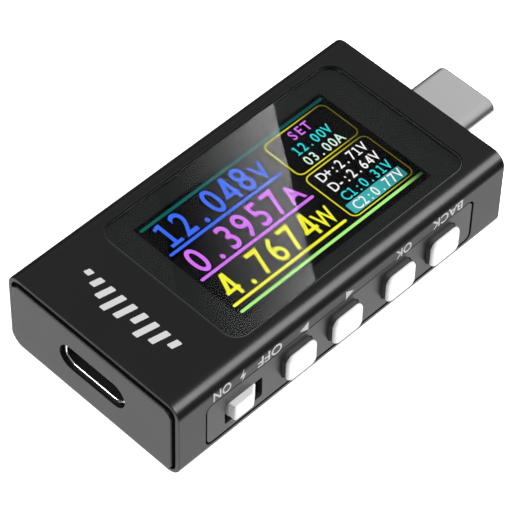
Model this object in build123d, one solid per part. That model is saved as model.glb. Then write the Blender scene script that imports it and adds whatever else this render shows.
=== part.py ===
from build123d import *
import os

# USB power meter: a small metal-cased pass-through meter with a USB-C plug on one end,
# a USB-C receptacle on the other, a display under a flush window and keys on one long side.
# Units are millimetres. +X points towards the plug, the keys face -Y and the display faces +Z.
# The origin is the centre of the case's flat underside.

# Case: a machined rectangular tube
CASE_LENGTH = 47.4
CASE_WIDTH = 24.7
CASE_HEIGHT = 11.0
CASE_EDGE_RADIUS = 1.7
END_CHAMFER = 0.15
SIDE_WALL = 1.0
TOP_WALL = 1.25
BOTTOM_WALL = 1.2
CAVITY_RADIUS = 0.4

# End caps: each one sits in a rebate and stands slightly proud of the tube
RIM_WALL = 0.5
RIM_RADIUS = 1.2
REBATE_DEPTH = 1.3
CAP_PROUD = 0.31
CAP_GROOVE = 0.33
CAP_GROOVE_DEPTH = 0.5
CAP_RADIUS = 1.0
CAP_EDGE_RADIUS = 0.1
CAP_SEAT_GAP = 0.04

# Display window, its seat in the top wall, and the display stack under it
WINDOW_LENGTH = 34.1
WINDOW_WIDTH = 20.15
WINDOW_RADIUS = 1.9
WINDOW_X = 3.36
WINDOW_Y = -0.1
WINDOW_THICKNESS = 0.7
WINDOW_RECESS = 0.03
WINDOW_GAP = 0.09
WINDOW_EDGE_CHAMFER = 0.08
ADHESIVE_THICKNESS = 0.1
ADHESIVE_INSET = 0.15
SIGHT_LENGTH = 30.4
SIGHT_WIDTH = 17.9
SIGHT_RADIUS = 0.8
PANEL_LENGTH = 29.8
PANEL_WIDTH = 17.3
PANEL_THICKNESS = 1.1
PANEL_RADIUS = 0.3
PANEL_TOP_GAP = 0.03
DISPLAY_SHIFT = -0.36
BACKLIGHT_THICKNESS = 0.8
BACKLIGHT_RADIUS = 0.6
FOAM_LENGTH = 24.0
FOAM_WIDTH = 12.0
FOAM_THICKNESS = 0.7
FOAM_RADIUS = 1.0
FOAM_SHIFT = 1.5

# Display flex: it leaves the display's receptacle-side edge, turns down and comes back to its connector
FLEX_WIDTH = 11.0
FLEX_THICKNESS = 0.12
FLEX_REACH = 1.2
FLEX_ABOVE_BACKLIGHT = 0.25
FLEX_ABOVE_BOARD = 0.6
FLEX_SLOT_GAP = 0.03
CONNECTOR_LENGTH = 2.6
CONNECTOR_HEIGHT = 1.1
CONNECTOR_SIDE = 0.8
CONNECTOR_LAP = 0.5

# Main board, straddled by the plug and cut out around the receptacle
BOARD_LENGTH = 44.4
BOARD_WIDTH = 21.8
BOARD_THICKNESS = 0.8
BOARD_KEY_EDGE = -9.7
BOARD_NOTCH = (-20.9, 19.9)
RAIL_DEPTH = 0.9
RAIL_HEIGHT = 0.6
RAIL_GAP = 0.03
RAIL_END_GAP = 0.1
BOARD_CORNER_RADIUS = 0.4
BOARD_CLEARANCE = 0.15
BOARD_REAR_CLEARANCE = 0.3

# USB-C receptacle (negative X end)
RECEPTACLE_Y = -0.2
RECEPTACLE_Z = 5.74
RECEPTACLE_WIDTH = 8.94
RECEPTACLE_HEIGHT = 3.26
RECEPTACLE_WALL = 0.3
RECEPTACLE_LENGTH = 7.3
RECEPTACLE_INSET = 0.45
RECEPTACLE_CUT_WIDTH = 9.46
RECEPTACLE_CUT_HEIGHT = 3.4
TONGUE_WIDTH = 6.69
TONGUE_THICKNESS = 0.7
TONGUE_SETBACK = 1.5
TONGUE_RADIUS = 0.2
HOUSING_BACK = 1.2
SHELL_FOOT_X = (-21.2, -18.0)
SHELL_FOOT_LENGTH = 1.1
SHELL_FOOT_REACH = 5.6
SHELL_FOOT_THICKNESS = 0.3
SHELL_FOOT_LAP = 0.2

# USB-C plug (positive X end)
PLUG_WIDTH = 8.25
PLUG_HEIGHT = 2.4
PLUG_WALL = 0.4
PLUG_TIP_X = 31.8
PLUG_ROOT_X = 22.55
PLUG_TIP_RADIUS = 0.32
PLUG_SIDE_GAP = 0.1
PLUG_MOUTH_WIDTH = 6.7
PLUG_MOUTH_HEIGHT = 1.1
PLUG_MOUTH_DEPTH = 6.0
PLUG_MOUTH_RADIUS = 0.4
PLUG_MOUTH_SETBACK = 0.3
PLUG_TAIL_LENGTH = 1.7
CONTACT_SETBACK = 0.4
PLUG_CONTACT_SETBACK = 0.6
CONTACT_COUNT = 12
CONTACT_PITCH = 0.5
CONTACT_WIDTH = 0.26
CONTACT_THICKNESS = 0.1

# Side panel and its opening in the key-side wall
OPENING_LENGTH = 39.1
OPENING_HEIGHT = 6.4
OPENING_RADIUS = 1.0
OPENING_X = -0.44
OPENING_Z = 4.91
SIDE_PANEL_GAP = 0.22
SIDE_PANEL_RECESS = 0.05
SIDE_PANEL_FLANGE = 0.5
SIDE_PANEL_LAP = 0.45
SIDE_PANEL_RISE = 0.2

# Push keys and the side-push tactile switches behind them
KEY_X = {"left": -7.11, "right": -0.38, "ok": 7.49, "back": 14.19}
KEY_Z = 4.89
KEY_LENGTH = 4.24
KEY_HEIGHT = 3.73
KEY_RADIUS = 0.9
KEY_FACE_RADIUS = 0.34
KEY_PROUD = 0.92
KEY_CLEARANCE = 0.12
KEY_FLANGE = 0.45
KEY_FLANGE_LAP = 0.5
FLANGE_CLEARANCE = 0.05
TACT_LENGTH = 4.5
TACT_DEPTH = 3.0
TACT_HEIGHT = 1.7
TACT_FRONT = -9.45
COVER_THICKNESS = 0.15
COVER_SKIRT_GAP = 0.2
STEM_LENGTH = 1.6
STEM_HEIGHT = 0.8
STEM_END = -9.1
STEM_POCKET_DEPTH = 0.85
STEM_POCKET_GAP = 0.1
STEM_RADIUS = 0.15
DOME_THICKNESS = 0.12
DOME_RADIUS = 0.3

# Slide switch: a white knob on a black carriage; it rests in its ON place, nearest the receptacle
SLOT_X = (-17.3, -12.05)
SLOT_Z = (3.05, 6.05)
SLOT_RADIUS = 0.35
KNOB_X = (-16.7, -13.05)
KNOB_Z = (3.75, 5.95)
KNOB_PROUD = 0.87
KNOB_SLOPE = 1.05
KNOB_ROOT = -11.5
KNOB_EDGE_RADIUS = 0.22
CARRIAGE_X = (-18.4, -11.9)
CARRIAGE_Z = (2.75, 6.35)
CARRIAGE_THICKNESS = 0.4
LEVER_X = (-15.6, -14.2)
LEVER_Z = (3.95, 4.65)
LEVER_END = -8.6
SLIDE_TRAVEL = 0.9
SLIDE_BODY_X = (-18.3, -11.6)
SLIDE_BODY_Y = (-9.9, -7.3)
SLIDE_BODY_HEIGHT = 1.6
SLIDE_POCKET_END = -8.4
LEVER_GAP = (0.12, 0.1)
NECK_RISE = 0.6

# Places worked out from the dimensions above
MID_Z = CASE_HEIGHT / 2
HALF_LENGTH = CASE_LENGTH / 2
HALF_WIDTH = CASE_WIDTH / 2
CAVITY_TOP = CASE_HEIGHT - TOP_WALL
BOARD_TOP = MID_Z + BOARD_THICKNESS / 2
BOARD_BOTTOM = MID_Z - BOARD_THICKNESS / 2
INNER_SIDE = HALF_WIDTH - SIDE_WALL
PANEL_FACE = -HALF_WIDTH + SIDE_PANEL_RECESS
PANEL_BACK = -INNER_SIDE + SIDE_PANEL_FLANGE
WINDOW_TOP = CASE_HEIGHT - WINDOW_RECESS
WINDOW_BOTTOM = WINDOW_TOP - WINDOW_THICKNESS
SEAT_Z = WINDOW_BOTTOM - ADHESIVE_THICKNESS
DISPLAY_TOP = WINDOW_BOTTOM - PANEL_TOP_GAP
DISPLAY_BOTTOM = DISPLAY_TOP - PANEL_THICKNESS
BACKLIGHT_BOTTOM = DISPLAY_BOTTOM - BACKLIGHT_THICKNESS
DISPLAY_X = WINDOW_X + DISPLAY_SHIFT
CAP_FACE = HALF_LENGTH + CAP_PROUD
CAP_STEP = HALF_LENGTH - CAP_GROOVE_DEPTH
CAP_BACK = HALF_LENGTH - REBATE_DEPTH
CAP_WIDTH = CASE_WIDTH - 2 * (RIM_WALL + CAP_GROOVE)
CAP_HEIGHT = CASE_HEIGHT - 2 * (RIM_WALL + CAP_GROOVE)
SEAT_WIDTH = CASE_WIDTH - 2 * RIM_WALL
SEAT_HEIGHT = CASE_HEIGHT - 2 * RIM_WALL
KEY_BACK = PANEL_BACK + FLANGE_CLEARANCE + KEY_FLANGE
STEM_Z = BOARD_BOTTOM - TACT_HEIGHT / 2
CARRIAGE_FRONT = PANEL_BACK + FLANGE_CLEARANCE
CARRIAGE_BACK = CARRIAGE_FRONT + CARRIAGE_THICKNESS
RECEPTACLE_FRONT = -CAP_FACE + RECEPTACLE_INSET
RECEPTACLE_REAR = RECEPTACLE_FRONT + RECEPTACLE_LENGTH
PLUG_MOUTH_END = PLUG_TIP_X - PLUG_MOUTH_SETBACK
FLEX_TOP = DISPLAY_BOTTOM + FLEX_ABOVE_BACKLIGHT
FLEX_LOW = BOARD_TOP + FLEX_ABOVE_BOARD
FLEX_START = DISPLAY_X - PANEL_LENGTH / 2
FLEX_TURN = FLEX_START - FLEX_REACH
FLEX_END = FLEX_START + FLEX_REACH
CONNECTOR_X = FLEX_END - CONNECTOR_LAP


def outline(width, height, radius):
    """A rectangle with round corners, or a stadium where the corners meet."""
    if radius <= 0:
        return Rectangle(width, height)
    if radius >= min(width, height) / 2:
        return SlotOverall(width, height)
    return RectangleRounded(width, height, radius)


def block(x, y, z):
    """A plain box between two limits along each axis."""
    size = (x[1] - x[0], y[1] - y[0], z[1] - z[0])
    return Pos(sum(x) / 2, sum(y) / 2, sum(z) / 2) * Box(*size)


def prism_x(centre, size, radius, x):
    """A rounded bar along X: centre and size are (y, z)."""
    plane = Plane((x[0], centre[0], centre[1]), x_dir=(0, 1, 0), z_dir=(1, 0, 0))
    return extrude(plane * outline(size[0], size[1], radius), amount=x[1] - x[0])


def prism_y(centre, size, radius, y):
    """A rounded bar along Y: centre and size are (x, z)."""
    plane = Plane((centre[0], y[1], centre[1]), x_dir=(1, 0, 0), z_dir=(0, -1, 0))
    return extrude(plane * outline(size[0], size[1], radius), amount=y[1] - y[0])


def prism_z(centre, size, radius, z):
    """A rounded bar along Z: centre and size are (x, y)."""
    plane = Plane((centre[0], centre[1], z[0]), x_dir=(1, 0, 0), z_dir=(0, 0, 1))
    return extrude(plane * outline(size[0], size[1], radius), amount=z[1] - z[0])


def centred(middle, length):
    """Limits of a length about its middle."""
    return (middle - length / 2, middle + length / 2)


def at_end(side, inner, outer):
    """Limits along X at one end of the case: side is -1 or 1, places count from the middle."""
    return (inner, outer) if side > 0 else (-outer, -inner)


def make_case():
    whole = (-HALF_LENGTH, HALF_LENGTH)
    tube = prism_x((0, MID_Z), (CASE_WIDTH, CASE_HEIGHT), CASE_EDGE_RADIUS, whole)
    ends = tube.faces().sort_by(Axis.X)
    tube = chamfer(ends[0].edges() + ends[-1].edges(), END_CHAMFER)

    cavity_size = (2 * INNER_SIDE, CAVITY_TOP - BOTTOM_WALL)
    cavity_mid = (CAVITY_TOP + BOTTOM_WALL) / 2
    tube -= prism_x((0, cavity_mid), cavity_size, CAVITY_RADIUS, whole)
    for side in (-1, 1):
        rebate = at_end(side, CAP_BACK, HALF_LENGTH)
        tube -= prism_x((0, MID_Z), (SEAT_WIDTH, SEAT_HEIGHT), RIM_RADIUS, rebate)

    tube += make_rails()
    place = (WINDOW_X, WINDOW_Y)
    pocket = (WINDOW_LENGTH + 2 * WINDOW_GAP, WINDOW_WIDTH + 2 * WINDOW_GAP)
    tube -= prism_z(place, pocket, WINDOW_RADIUS + WINDOW_GAP, (SEAT_Z, CASE_HEIGHT))
    sight = (SIGHT_LENGTH, SIGHT_WIDTH)
    tube -= prism_z((DISPLAY_X, WINDOW_Y), sight, SIGHT_RADIUS, (CAVITY_TOP - TOP_WALL, SEAT_Z))
    opening = (OPENING_LENGTH, OPENING_HEIGHT)
    tube -= prism_y((OPENING_X, OPENING_Z), opening, OPENING_RADIUS, (-HALF_WIDTH, -INNER_SIDE))
    return tube


def make_rails():
    """Grooves that hold the board's two long edges; the key side keeps only its ends."""
    rails = []
    near_end = (-CAP_BACK, BOARD_NOTCH[0] - RAIL_END_GAP)
    runs = (near_end, (BOARD_NOTCH[1] + RAIL_END_GAP, CAP_BACK))
    for z in (BOARD_TOP + RAIL_GAP, BOARD_BOTTOM - RAIL_GAP - RAIL_HEIGHT):
        height = (z, z + RAIL_HEIGHT)
        rails.append(block((-CAP_BACK, CAP_BACK), (INNER_SIDE - RAIL_DEPTH, INNER_SIDE), height))
        for run in runs:
            rails.append(block(run, (-INNER_SIDE, -INNER_SIDE + RAIL_DEPTH), height))
    return rails


def make_end_cap(side, cut_centre, cut_size):
    """A face plate with a wider foot that seats in the case's rebate."""
    plate = prism_x((0, MID_Z), (CAP_WIDTH, CAP_HEIGHT), CAP_RADIUS, at_end(side, CAP_STEP, CAP_FACE))
    face = plate.faces().sort_by(Axis.X)[-1 if side > 0 else 0]
    plate = fillet(face.edges(), CAP_EDGE_RADIUS)
    foot_size = (SEAT_WIDTH - 2 * CAP_SEAT_GAP, SEAT_HEIGHT - 2 * CAP_SEAT_GAP)
    foot = prism_x((0, MID_Z), foot_size, RIM_RADIUS - CAP_SEAT_GAP, at_end(side, CAP_BACK, CAP_STEP))
    slot = prism_x(cut_centre, cut_size, cut_size[1], at_end(side, CAP_BACK - 1, CAP_FACE + 1))
    return plate + foot - slot


def make_receptacle_end_cap():
    return make_end_cap(-1, (RECEPTACLE_Y, RECEPTACLE_Z), (RECEPTACLE_CUT_WIDTH, RECEPTACLE_CUT_HEIGHT))


def make_plug_end_cap():
    cut = (PLUG_WIDTH + 2 * PLUG_SIDE_GAP, PLUG_HEIGHT + 2 * PLUG_SIDE_GAP)
    return make_end_cap(1, (0, MID_Z), cut)


def make_display_window():
    size = (WINDOW_LENGTH, WINDOW_WIDTH)
    glass = prism_z((WINDOW_X, WINDOW_Y), size, WINDOW_RADIUS, (WINDOW_BOTTOM, WINDOW_TOP))
    return chamfer(glass.faces().sort_by(Axis.Z)[-1].edges(), WINDOW_EDGE_CHAMFER)


def make_window_adhesive():
    size = (WINDOW_LENGTH - 2 * ADHESIVE_INSET, WINDOW_WIDTH - 2 * ADHESIVE_INSET)
    level = (SEAT_Z, WINDOW_BOTTOM)
    ring = prism_z((WINDOW_X, WINDOW_Y), size, WINDOW_RADIUS - ADHESIVE_INSET, level)
    hole = (SIGHT_LENGTH, SIGHT_WIDTH)
    return ring - prism_z((DISPLAY_X, WINDOW_Y), hole, SIGHT_RADIUS, level)


def make_display_panel():
    place = (DISPLAY_X, WINDOW_Y)
    size = (PANEL_LENGTH, PANEL_WIDTH)
    return prism_z(place, size, PANEL_RADIUS, (DISPLAY_BOTTOM, DISPLAY_TOP))


def make_display_backlight():
    place = (DISPLAY_X, WINDOW_Y)
    size = (PANEL_LENGTH, PANEL_WIDTH)
    return prism_z(place, size, BACKLIGHT_RADIUS, (BACKLIGHT_BOTTOM, DISPLAY_BOTTOM))


def make_display_flex():
    radius = (FLEX_TOP - FLEX_LOW) / 2
    middle = (FLEX_TOP + FLEX_LOW) / 2
    path = Line((FLEX_START, 0, FLEX_TOP), (FLEX_TURN, 0, FLEX_TOP))
    bend = ((FLEX_TURN, 0, FLEX_TOP), (FLEX_TURN - radius, 0, middle), (FLEX_TURN, 0, FLEX_LOW))
    path += ThreePointArc(*bend)
    path += Line((FLEX_TURN, 0, FLEX_LOW), (FLEX_END, 0, FLEX_LOW))
    section = Plane((FLEX_START, 0, FLEX_TOP), x_dir=(0, 1, 0), z_dir=(-1, 0, 0))
    return sweep(section * Rectangle(FLEX_WIDTH, FLEX_THICKNESS), path=path)


def make_display_connector():
    x = (CONNECTOR_X, CONNECTOR_X + CONNECTOR_LENGTH)
    level = (BOARD_TOP, BOARD_TOP + CONNECTOR_HEIGHT)
    body = block(x, centred(0, FLEX_WIDTH + 2 * CONNECTOR_SIDE), level)
    slot_x = (CONNECTOR_X, FLEX_END + FLEX_SLOT_GAP)
    slot_level = centred(FLEX_LOW, FLEX_THICKNESS + 2 * FLEX_SLOT_GAP)
    return body - block(slot_x, centred(0, FLEX_WIDTH + 2 * FLEX_SLOT_GAP), slot_level)


def make_display_foam_pad():
    level = (BACKLIGHT_BOTTOM - FOAM_THICKNESS, BACKLIGHT_BOTTOM)
    return prism_z((DISPLAY_X + FOAM_SHIFT, WINDOW_Y), (FOAM_LENGTH, FOAM_WIDTH), FOAM_RADIUS, level)


def make_side_panel():
    """A plate in the opening, with a flange behind the wall and openings for keys and knob."""
    place = (OPENING_X, OPENING_Z)
    front = (OPENING_LENGTH - 2 * SIDE_PANEL_GAP, OPENING_HEIGHT - 2 * SIDE_PANEL_GAP)
    flange_place = (OPENING_X, OPENING_Z + SIDE_PANEL_RISE)
    flange_height = OPENING_HEIGHT + 2 * (SIDE_PANEL_LAP - SIDE_PANEL_RISE)
    flange = (OPENING_LENGTH + 2 * SIDE_PANEL_LAP, flange_height)
    plate = prism_y(place, front, OPENING_RADIUS - SIDE_PANEL_GAP, (PANEL_FACE, -INNER_SIDE))
    panel = plate + prism_y(flange_place, flange, OPENING_RADIUS, (-INNER_SIDE, PANEL_BACK))
    through = (PANEL_FACE - 1, PANEL_BACK + 1)
    hole = (KEY_LENGTH + 2 * KEY_CLEARANCE, KEY_HEIGHT + 2 * KEY_CLEARANCE)
    for x in KEY_X.values():
        panel -= prism_y((x, KEY_Z), hole, KEY_RADIUS + KEY_CLEARANCE, through)
    slot_centre = (sum(SLOT_X) / 2, sum(SLOT_Z) / 2)
    slot_size = (SLOT_X[1] - SLOT_X[0], SLOT_Z[1] - SLOT_Z[0])
    return panel - prism_y(slot_centre, slot_size, SLOT_RADIUS, through)


def make_key(x):
    """A key cap with a flange that keeps it behind the panel."""
    front = PANEL_FACE - KEY_PROUD
    flange_front = PANEL_BACK + FLANGE_CLEARANCE
    cap = prism_y((x, KEY_Z), (KEY_LENGTH, KEY_HEIGHT), KEY_RADIUS, (front, flange_front))
    cap = fillet(cap.faces().sort_by(Axis.Y)[0].edges(), KEY_FACE_RADIUS)
    size = (KEY_LENGTH + 2 * KEY_FLANGE_LAP, KEY_HEIGHT + 2 * KEY_FLANGE_LAP)
    return cap + prism_y((x, KEY_Z), size, KEY_RADIUS, (flange_front, KEY_BACK))


def make_tact_body(x):
    level = (BOARD_BOTTOM - TACT_HEIGHT, BOARD_BOTTOM)
    body = block(centred(x, TACT_LENGTH), (TACT_FRONT, TACT_FRONT + TACT_DEPTH), level)
    gap = 2 * STEM_POCKET_GAP
    pocket_y = (TACT_FRONT, TACT_FRONT + STEM_POCKET_DEPTH)
    return body - block(centred(x, STEM_LENGTH + gap), pocket_y, centred(STEM_Z, STEM_HEIGHT + gap))


def make_tact_stem(x):
    return prism_y((x, STEM_Z), (STEM_LENGTH, STEM_HEIGHT), STEM_RADIUS, (KEY_BACK, STEM_END))


def make_tact_cover(x):
    """A folded metal cover: one plate under the switch and a flange down each side."""
    y = (TACT_FRONT, TACT_FRONT + TACT_DEPTH)
    low = BOARD_BOTTOM - TACT_HEIGHT
    outer = TACT_LENGTH / 2 + COVER_THICKNESS
    cover = block((x - outer, x + outer), y, (low - COVER_THICKNESS, low))
    for side in (-1, 1):
        edge = sorted((x + side * TACT_LENGTH / 2, x + side * outer))
        cover += block(edge, y, (low, BOARD_BOTTOM - COVER_SKIRT_GAP))
    return cover


def make_tact_domes():
    """The four sprung contact discs, each at the back of its switch's pocket."""
    back = TACT_FRONT + STEM_POCKET_DEPTH
    size = (STEM_LENGTH, STEM_HEIGHT)
    reach = (back - DOME_THICKNESS, back)
    return [prism_y((x, STEM_Z), size, DOME_RADIUS, reach) for x in KEY_X.values()]


def make_slide_knob():
    """The white knob: upright on the receptacle side, sloped on the plug side."""
    face = PANEL_FACE - KNOB_PROUD
    profile = Polyline(
        (KNOB_X[0], KNOB_ROOT),
        (KNOB_X[0], face),
        (KNOB_X[1] - KNOB_SLOPE, face),
        (KNOB_X[1], PANEL_FACE),
        (KNOB_X[1], KNOB_ROOT),
        close=True,
    )
    knob = extrude(Pos(0, 0, KNOB_Z[0]) * make_face(profile), amount=KNOB_Z[1] - KNOB_Z[0])
    outer = knob.faces().sort_by(Axis.Y)[0]
    uprights = knob.edges().filter_by(Axis.Y).group_by(Axis.X)[0]
    return fillet(outer.edges() + uprights, KNOB_EDGE_RADIUS)


def make_slide_actuator():
    """The black carriage: a neck into the knob, a shutter behind the slot and a lever."""
    neck = block(LEVER_X, (KNOB_ROOT, CARRIAGE_FRONT), (LEVER_Z[0], LEVER_Z[1] + NECK_RISE))
    shutter = block(CARRIAGE_X, (CARRIAGE_FRONT, CARRIAGE_BACK), CARRIAGE_Z)
    lever = block(LEVER_X, (CARRIAGE_BACK, LEVER_END), LEVER_Z)
    return neck + shutter + lever


def make_slide_switch_body():
    level = (BOARD_BOTTOM - SLIDE_BODY_HEIGHT, BOARD_BOTTOM)
    body = block(SLIDE_BODY_X, SLIDE_BODY_Y, level)
    side, rise = LEVER_GAP
    x = (LEVER_X[0] - side, LEVER_X[1] + SLIDE_TRAVEL + side)
    pocket_z = (LEVER_Z[0] - rise, LEVER_Z[1] + rise)
    return body - block(x, (SLIDE_BODY_Y[0], SLIDE_POCKET_END), pocket_z)


def make_slide_switch_cover():
    low = BOARD_BOTTOM - SLIDE_BODY_HEIGHT
    left, right = SLIDE_BODY_X
    cover = block(SLIDE_BODY_X, SLIDE_BODY_Y, (low - COVER_THICKNESS, low))
    for x in ((left - COVER_THICKNESS, left), (right, right + COVER_THICKNESS)):
        cover += block(x, SLIDE_BODY_Y, (low - COVER_THICKNESS, BOARD_BOTTOM - COVER_SKIRT_GAP))
    return cover


def make_main_board():
    level = (BOARD_BOTTOM, BOARD_TOP)
    board = prism_z((0, 0), (BOARD_LENGTH, BOARD_WIDTH), BOARD_CORNER_RADIUS, level)
    board -= block(BOARD_NOTCH, (-BOARD_WIDTH / 2, BOARD_KEY_EDGE), level)
    rear = RECEPTACLE_REAR + BOARD_REAR_CLEARANCE
    cut_width = RECEPTACLE_WIDTH + 2 * BOARD_CLEARANCE
    board -= block((-BOARD_LENGTH / 2, rear), centred(RECEPTACLE_Y, cut_width), level)
    return board


def make_receptacle_shell():
    """A stadium-shaped metal tube with four feet that stand on the board."""
    place = (RECEPTACLE_Y, RECEPTACLE_Z)
    x = (RECEPTACLE_FRONT, RECEPTACLE_REAR)
    tube = prism_x(place, (RECEPTACLE_WIDTH, RECEPTACLE_HEIGHT), RECEPTACLE_HEIGHT, x)
    inner = (RECEPTACLE_WIDTH - 2 * RECEPTACLE_WALL, RECEPTACLE_HEIGHT - 2 * RECEPTACLE_WALL)
    tube -= prism_x(place, inner, inner[1], (x[0] - 1, x[1] + 1))
    root = RECEPTACLE_WIDTH / 2 - SHELL_FOOT_LAP
    level = (BOARD_TOP, BOARD_TOP + SHELL_FOOT_THICKNESS)
    for foot in SHELL_FOOT_X:
        for side in (-1, 1):
            reach = sorted((RECEPTACLE_Y + side * root, RECEPTACLE_Y + side * SHELL_FOOT_REACH))
            tube += block(centred(foot, SHELL_FOOT_LENGTH), reach, level)
    return tube


def make_receptacle_housing():
    """The insulator: a back wall inside the shell and the central contact tongue."""
    place = (RECEPTACLE_Y, RECEPTACLE_Z)
    inner = (RECEPTACLE_WIDTH - 2 * RECEPTACLE_WALL, RECEPTACLE_HEIGHT - 2 * RECEPTACLE_WALL)
    wall = prism_x(place, inner, inner[1], (RECEPTACLE_REAR - HOUSING_BACK, RECEPTACLE_REAR))
    reach = (RECEPTACLE_FRONT + TONGUE_SETBACK, RECEPTACLE_REAR - HOUSING_BACK)
    return wall + prism_x(place, (TONGUE_WIDTH, TONGUE_THICKNESS), TONGUE_RADIUS, reach)


def contact_rows(centre, surface, x, outward):
    """Two rows of flat contacts on the upper and lower surfaces of a tongue or mouth."""
    rows = []
    for side in (-1, 1):
        near = centre[1] + side * surface
        z = sorted((near, near + side * outward * CONTACT_THICKNESS))
        for n in range(CONTACT_COUNT):
            y = centre[0] + (n - (CONTACT_COUNT - 1) / 2) * CONTACT_PITCH
            rows.append(block(x, centred(y, CONTACT_WIDTH), z))
    return rows


def make_receptacle_contacts():
    front = RECEPTACLE_FRONT + TONGUE_SETBACK + CONTACT_SETBACK
    reach = (front, RECEPTACLE_REAR - HOUSING_BACK)
    return contact_rows((RECEPTACLE_Y, RECEPTACLE_Z), TONGUE_THICKNESS / 2, reach, 1)


def make_plug_shell():
    place = (0, MID_Z)
    tube = prism_x(place, (PLUG_WIDTH, PLUG_HEIGHT), PLUG_HEIGHT, (PLUG_ROOT_X, PLUG_TIP_X))
    tube = fillet(tube.faces().sort_by(Axis.X)[-1].edges(), PLUG_TIP_RADIUS)
    inner = (PLUG_WIDTH - 2 * PLUG_WALL, PLUG_HEIGHT - 2 * PLUG_WALL)
    return tube - prism_x(place, inner, inner[1], (PLUG_ROOT_X - 1, PLUG_TIP_X + 1))


def make_plug_housing():
    place = (0, MID_Z)
    inner = (PLUG_WIDTH - 2 * PLUG_WALL, PLUG_HEIGHT - 2 * PLUG_WALL)
    body = prism_x(place, inner, inner[1], (PLUG_ROOT_X, PLUG_MOUTH_END))
    mouth = (PLUG_MOUTH_END - PLUG_MOUTH_DEPTH, PLUG_MOUTH_END)
    return body - prism_x(place, (PLUG_MOUTH_WIDTH, PLUG_MOUTH_HEIGHT), PLUG_MOUTH_RADIUS, mouth)


def make_plug_contacts():
    reach = (PLUG_MOUTH_END - PLUG_MOUTH_DEPTH, PLUG_MOUTH_END - PLUG_CONTACT_SETBACK)
    inside = contact_rows((0, MID_Z), PLUG_MOUTH_HEIGHT / 2, reach, -1)
    tail_reach = (BOARD_LENGTH / 2 - PLUG_TAIL_LENGTH, PLUG_ROOT_X)
    tails = contact_rows((0, MID_Z), BOARD_THICKNESS / 2, tail_reach, 1)
    return inside + tails


def make_chip(x, y, length, width, height, below):
    """A flat component package standing on one face of the board."""
    level = (BOARD_BOTTOM - height, BOARD_BOTTOM) if below else (BOARD_TOP, BOARD_TOP + height)
    return block(centred(x, length), centred(y, width), level)


def make_power_inductor():
    return prism_z((8.5, 4.5), (4.4, 4.4), 0.9, (BOARD_BOTTOM - 2.0, BOARD_BOTTOM))


def make_power_mosfets():
    return [make_chip(-9.0, y, 3.3, 3.3, 0.9, True) for y in (2.4, 6.6)]


def make_chip_capacitors():
    places = [(x, y) for x in (-4.5, -2.9, 13.2, 14.8) for y in (7.6, 9.4)]
    return [make_chip(x, y, 1.0, 0.6, 0.6, True) for x, y in places]


def make_chip_resistors():
    places = [(x, y) for x in (2.2, 3.8, 5.4) for y in (-4.6, -3.2)]
    return [make_chip(x, y, 1.0, 0.5, 0.35, True) for x, y in places]


def make_parts():
    parts = {
        "case": make_case(),
        "receptacle_end_cap": make_receptacle_end_cap(),
        "plug_end_cap": make_plug_end_cap(),
        "display_window": make_display_window(),
        "window_adhesive": make_window_adhesive(),
        "display_panel": make_display_panel(),
        "display_backlight": make_display_backlight(),
        "display_flex": make_display_flex(),
        "display_connector": make_display_connector(),
        "display_foam_pad": make_display_foam_pad(),
        "side_panel": make_side_panel(),
        "tact_domes": make_tact_domes(),
        "slide_knob": make_slide_knob(),
        "slide_actuator": make_slide_actuator(),
        "slide_switch_body": make_slide_switch_body(),
        "slide_switch_cover": make_slide_switch_cover(),
        "main_board": make_main_board(),
        "receptacle_shell": make_receptacle_shell(),
        "receptacle_housing": make_receptacle_housing(),
        "receptacle_contacts": make_receptacle_contacts(),
        "plug_shell": make_plug_shell(),
        "plug_housing": make_plug_housing(),
        "plug_contacts": make_plug_contacts(),
        "controller_chip": make_chip(1.5, 4.0, 6.0, 6.0, 0.9, True),
        "meter_chip": make_chip(-4.6, 3.6, 3.0, 4.9, 1.0, True),
        "protocol_chip": make_chip(14.0, 3.6, 4.0, 4.0, 0.8, True),
        "flash_chip": make_chip(-3.6, -3.4, 4.0, 3.0, 0.8, True),
        "shunt_resistor": make_chip(-13.2, 5.2, 3.2, 6.3, 0.6, True),
        "crystal": make_chip(8.6, -3.6, 3.2, 2.5, 0.8, True),
        "power_inductor": make_power_inductor(),
        "power_mosfets": make_power_mosfets(),
        "chip_capacitors": make_chip_capacitors(),
        "chip_resistors": make_chip_resistors(),
    }
    for name, x in KEY_X.items():
        parts["key_" + name] = make_key(x)
        parts["tact_body_" + name] = make_tact_body(x)
        parts["tact_stem_" + name] = make_tact_stem(x)
        parts["tact_cover_" + name] = make_tact_cover(x)
    return parts


def main():
    os.makedirs("parts", exist_ok=True)
    for node, shape in make_parts().items():
        solids = shape if isinstance(shape, list) else shape.solids()
        whole = Compound(children=list(solids)) if len(solids) > 1 else solids[0]
        export_step(whole, f"parts/{node}.step")


main()
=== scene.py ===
# %% [markdown]
# # A pocket USB power meter
# The meter is a machined black aluminium tube with a pressed-in cap at each end, a flush glass
# window over a colour display, a black plastic panel with four keys and a slide switch on one
# long side, a USB-C plug at one end and a USB-C receptacle at the other. The frame holds every
# part at its real size, so each step below reads its sizes from the frame and only adds the
# finish. The first cell loads the frame and a helper that reads each part's box from it.

# %% The frame
import math

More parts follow.
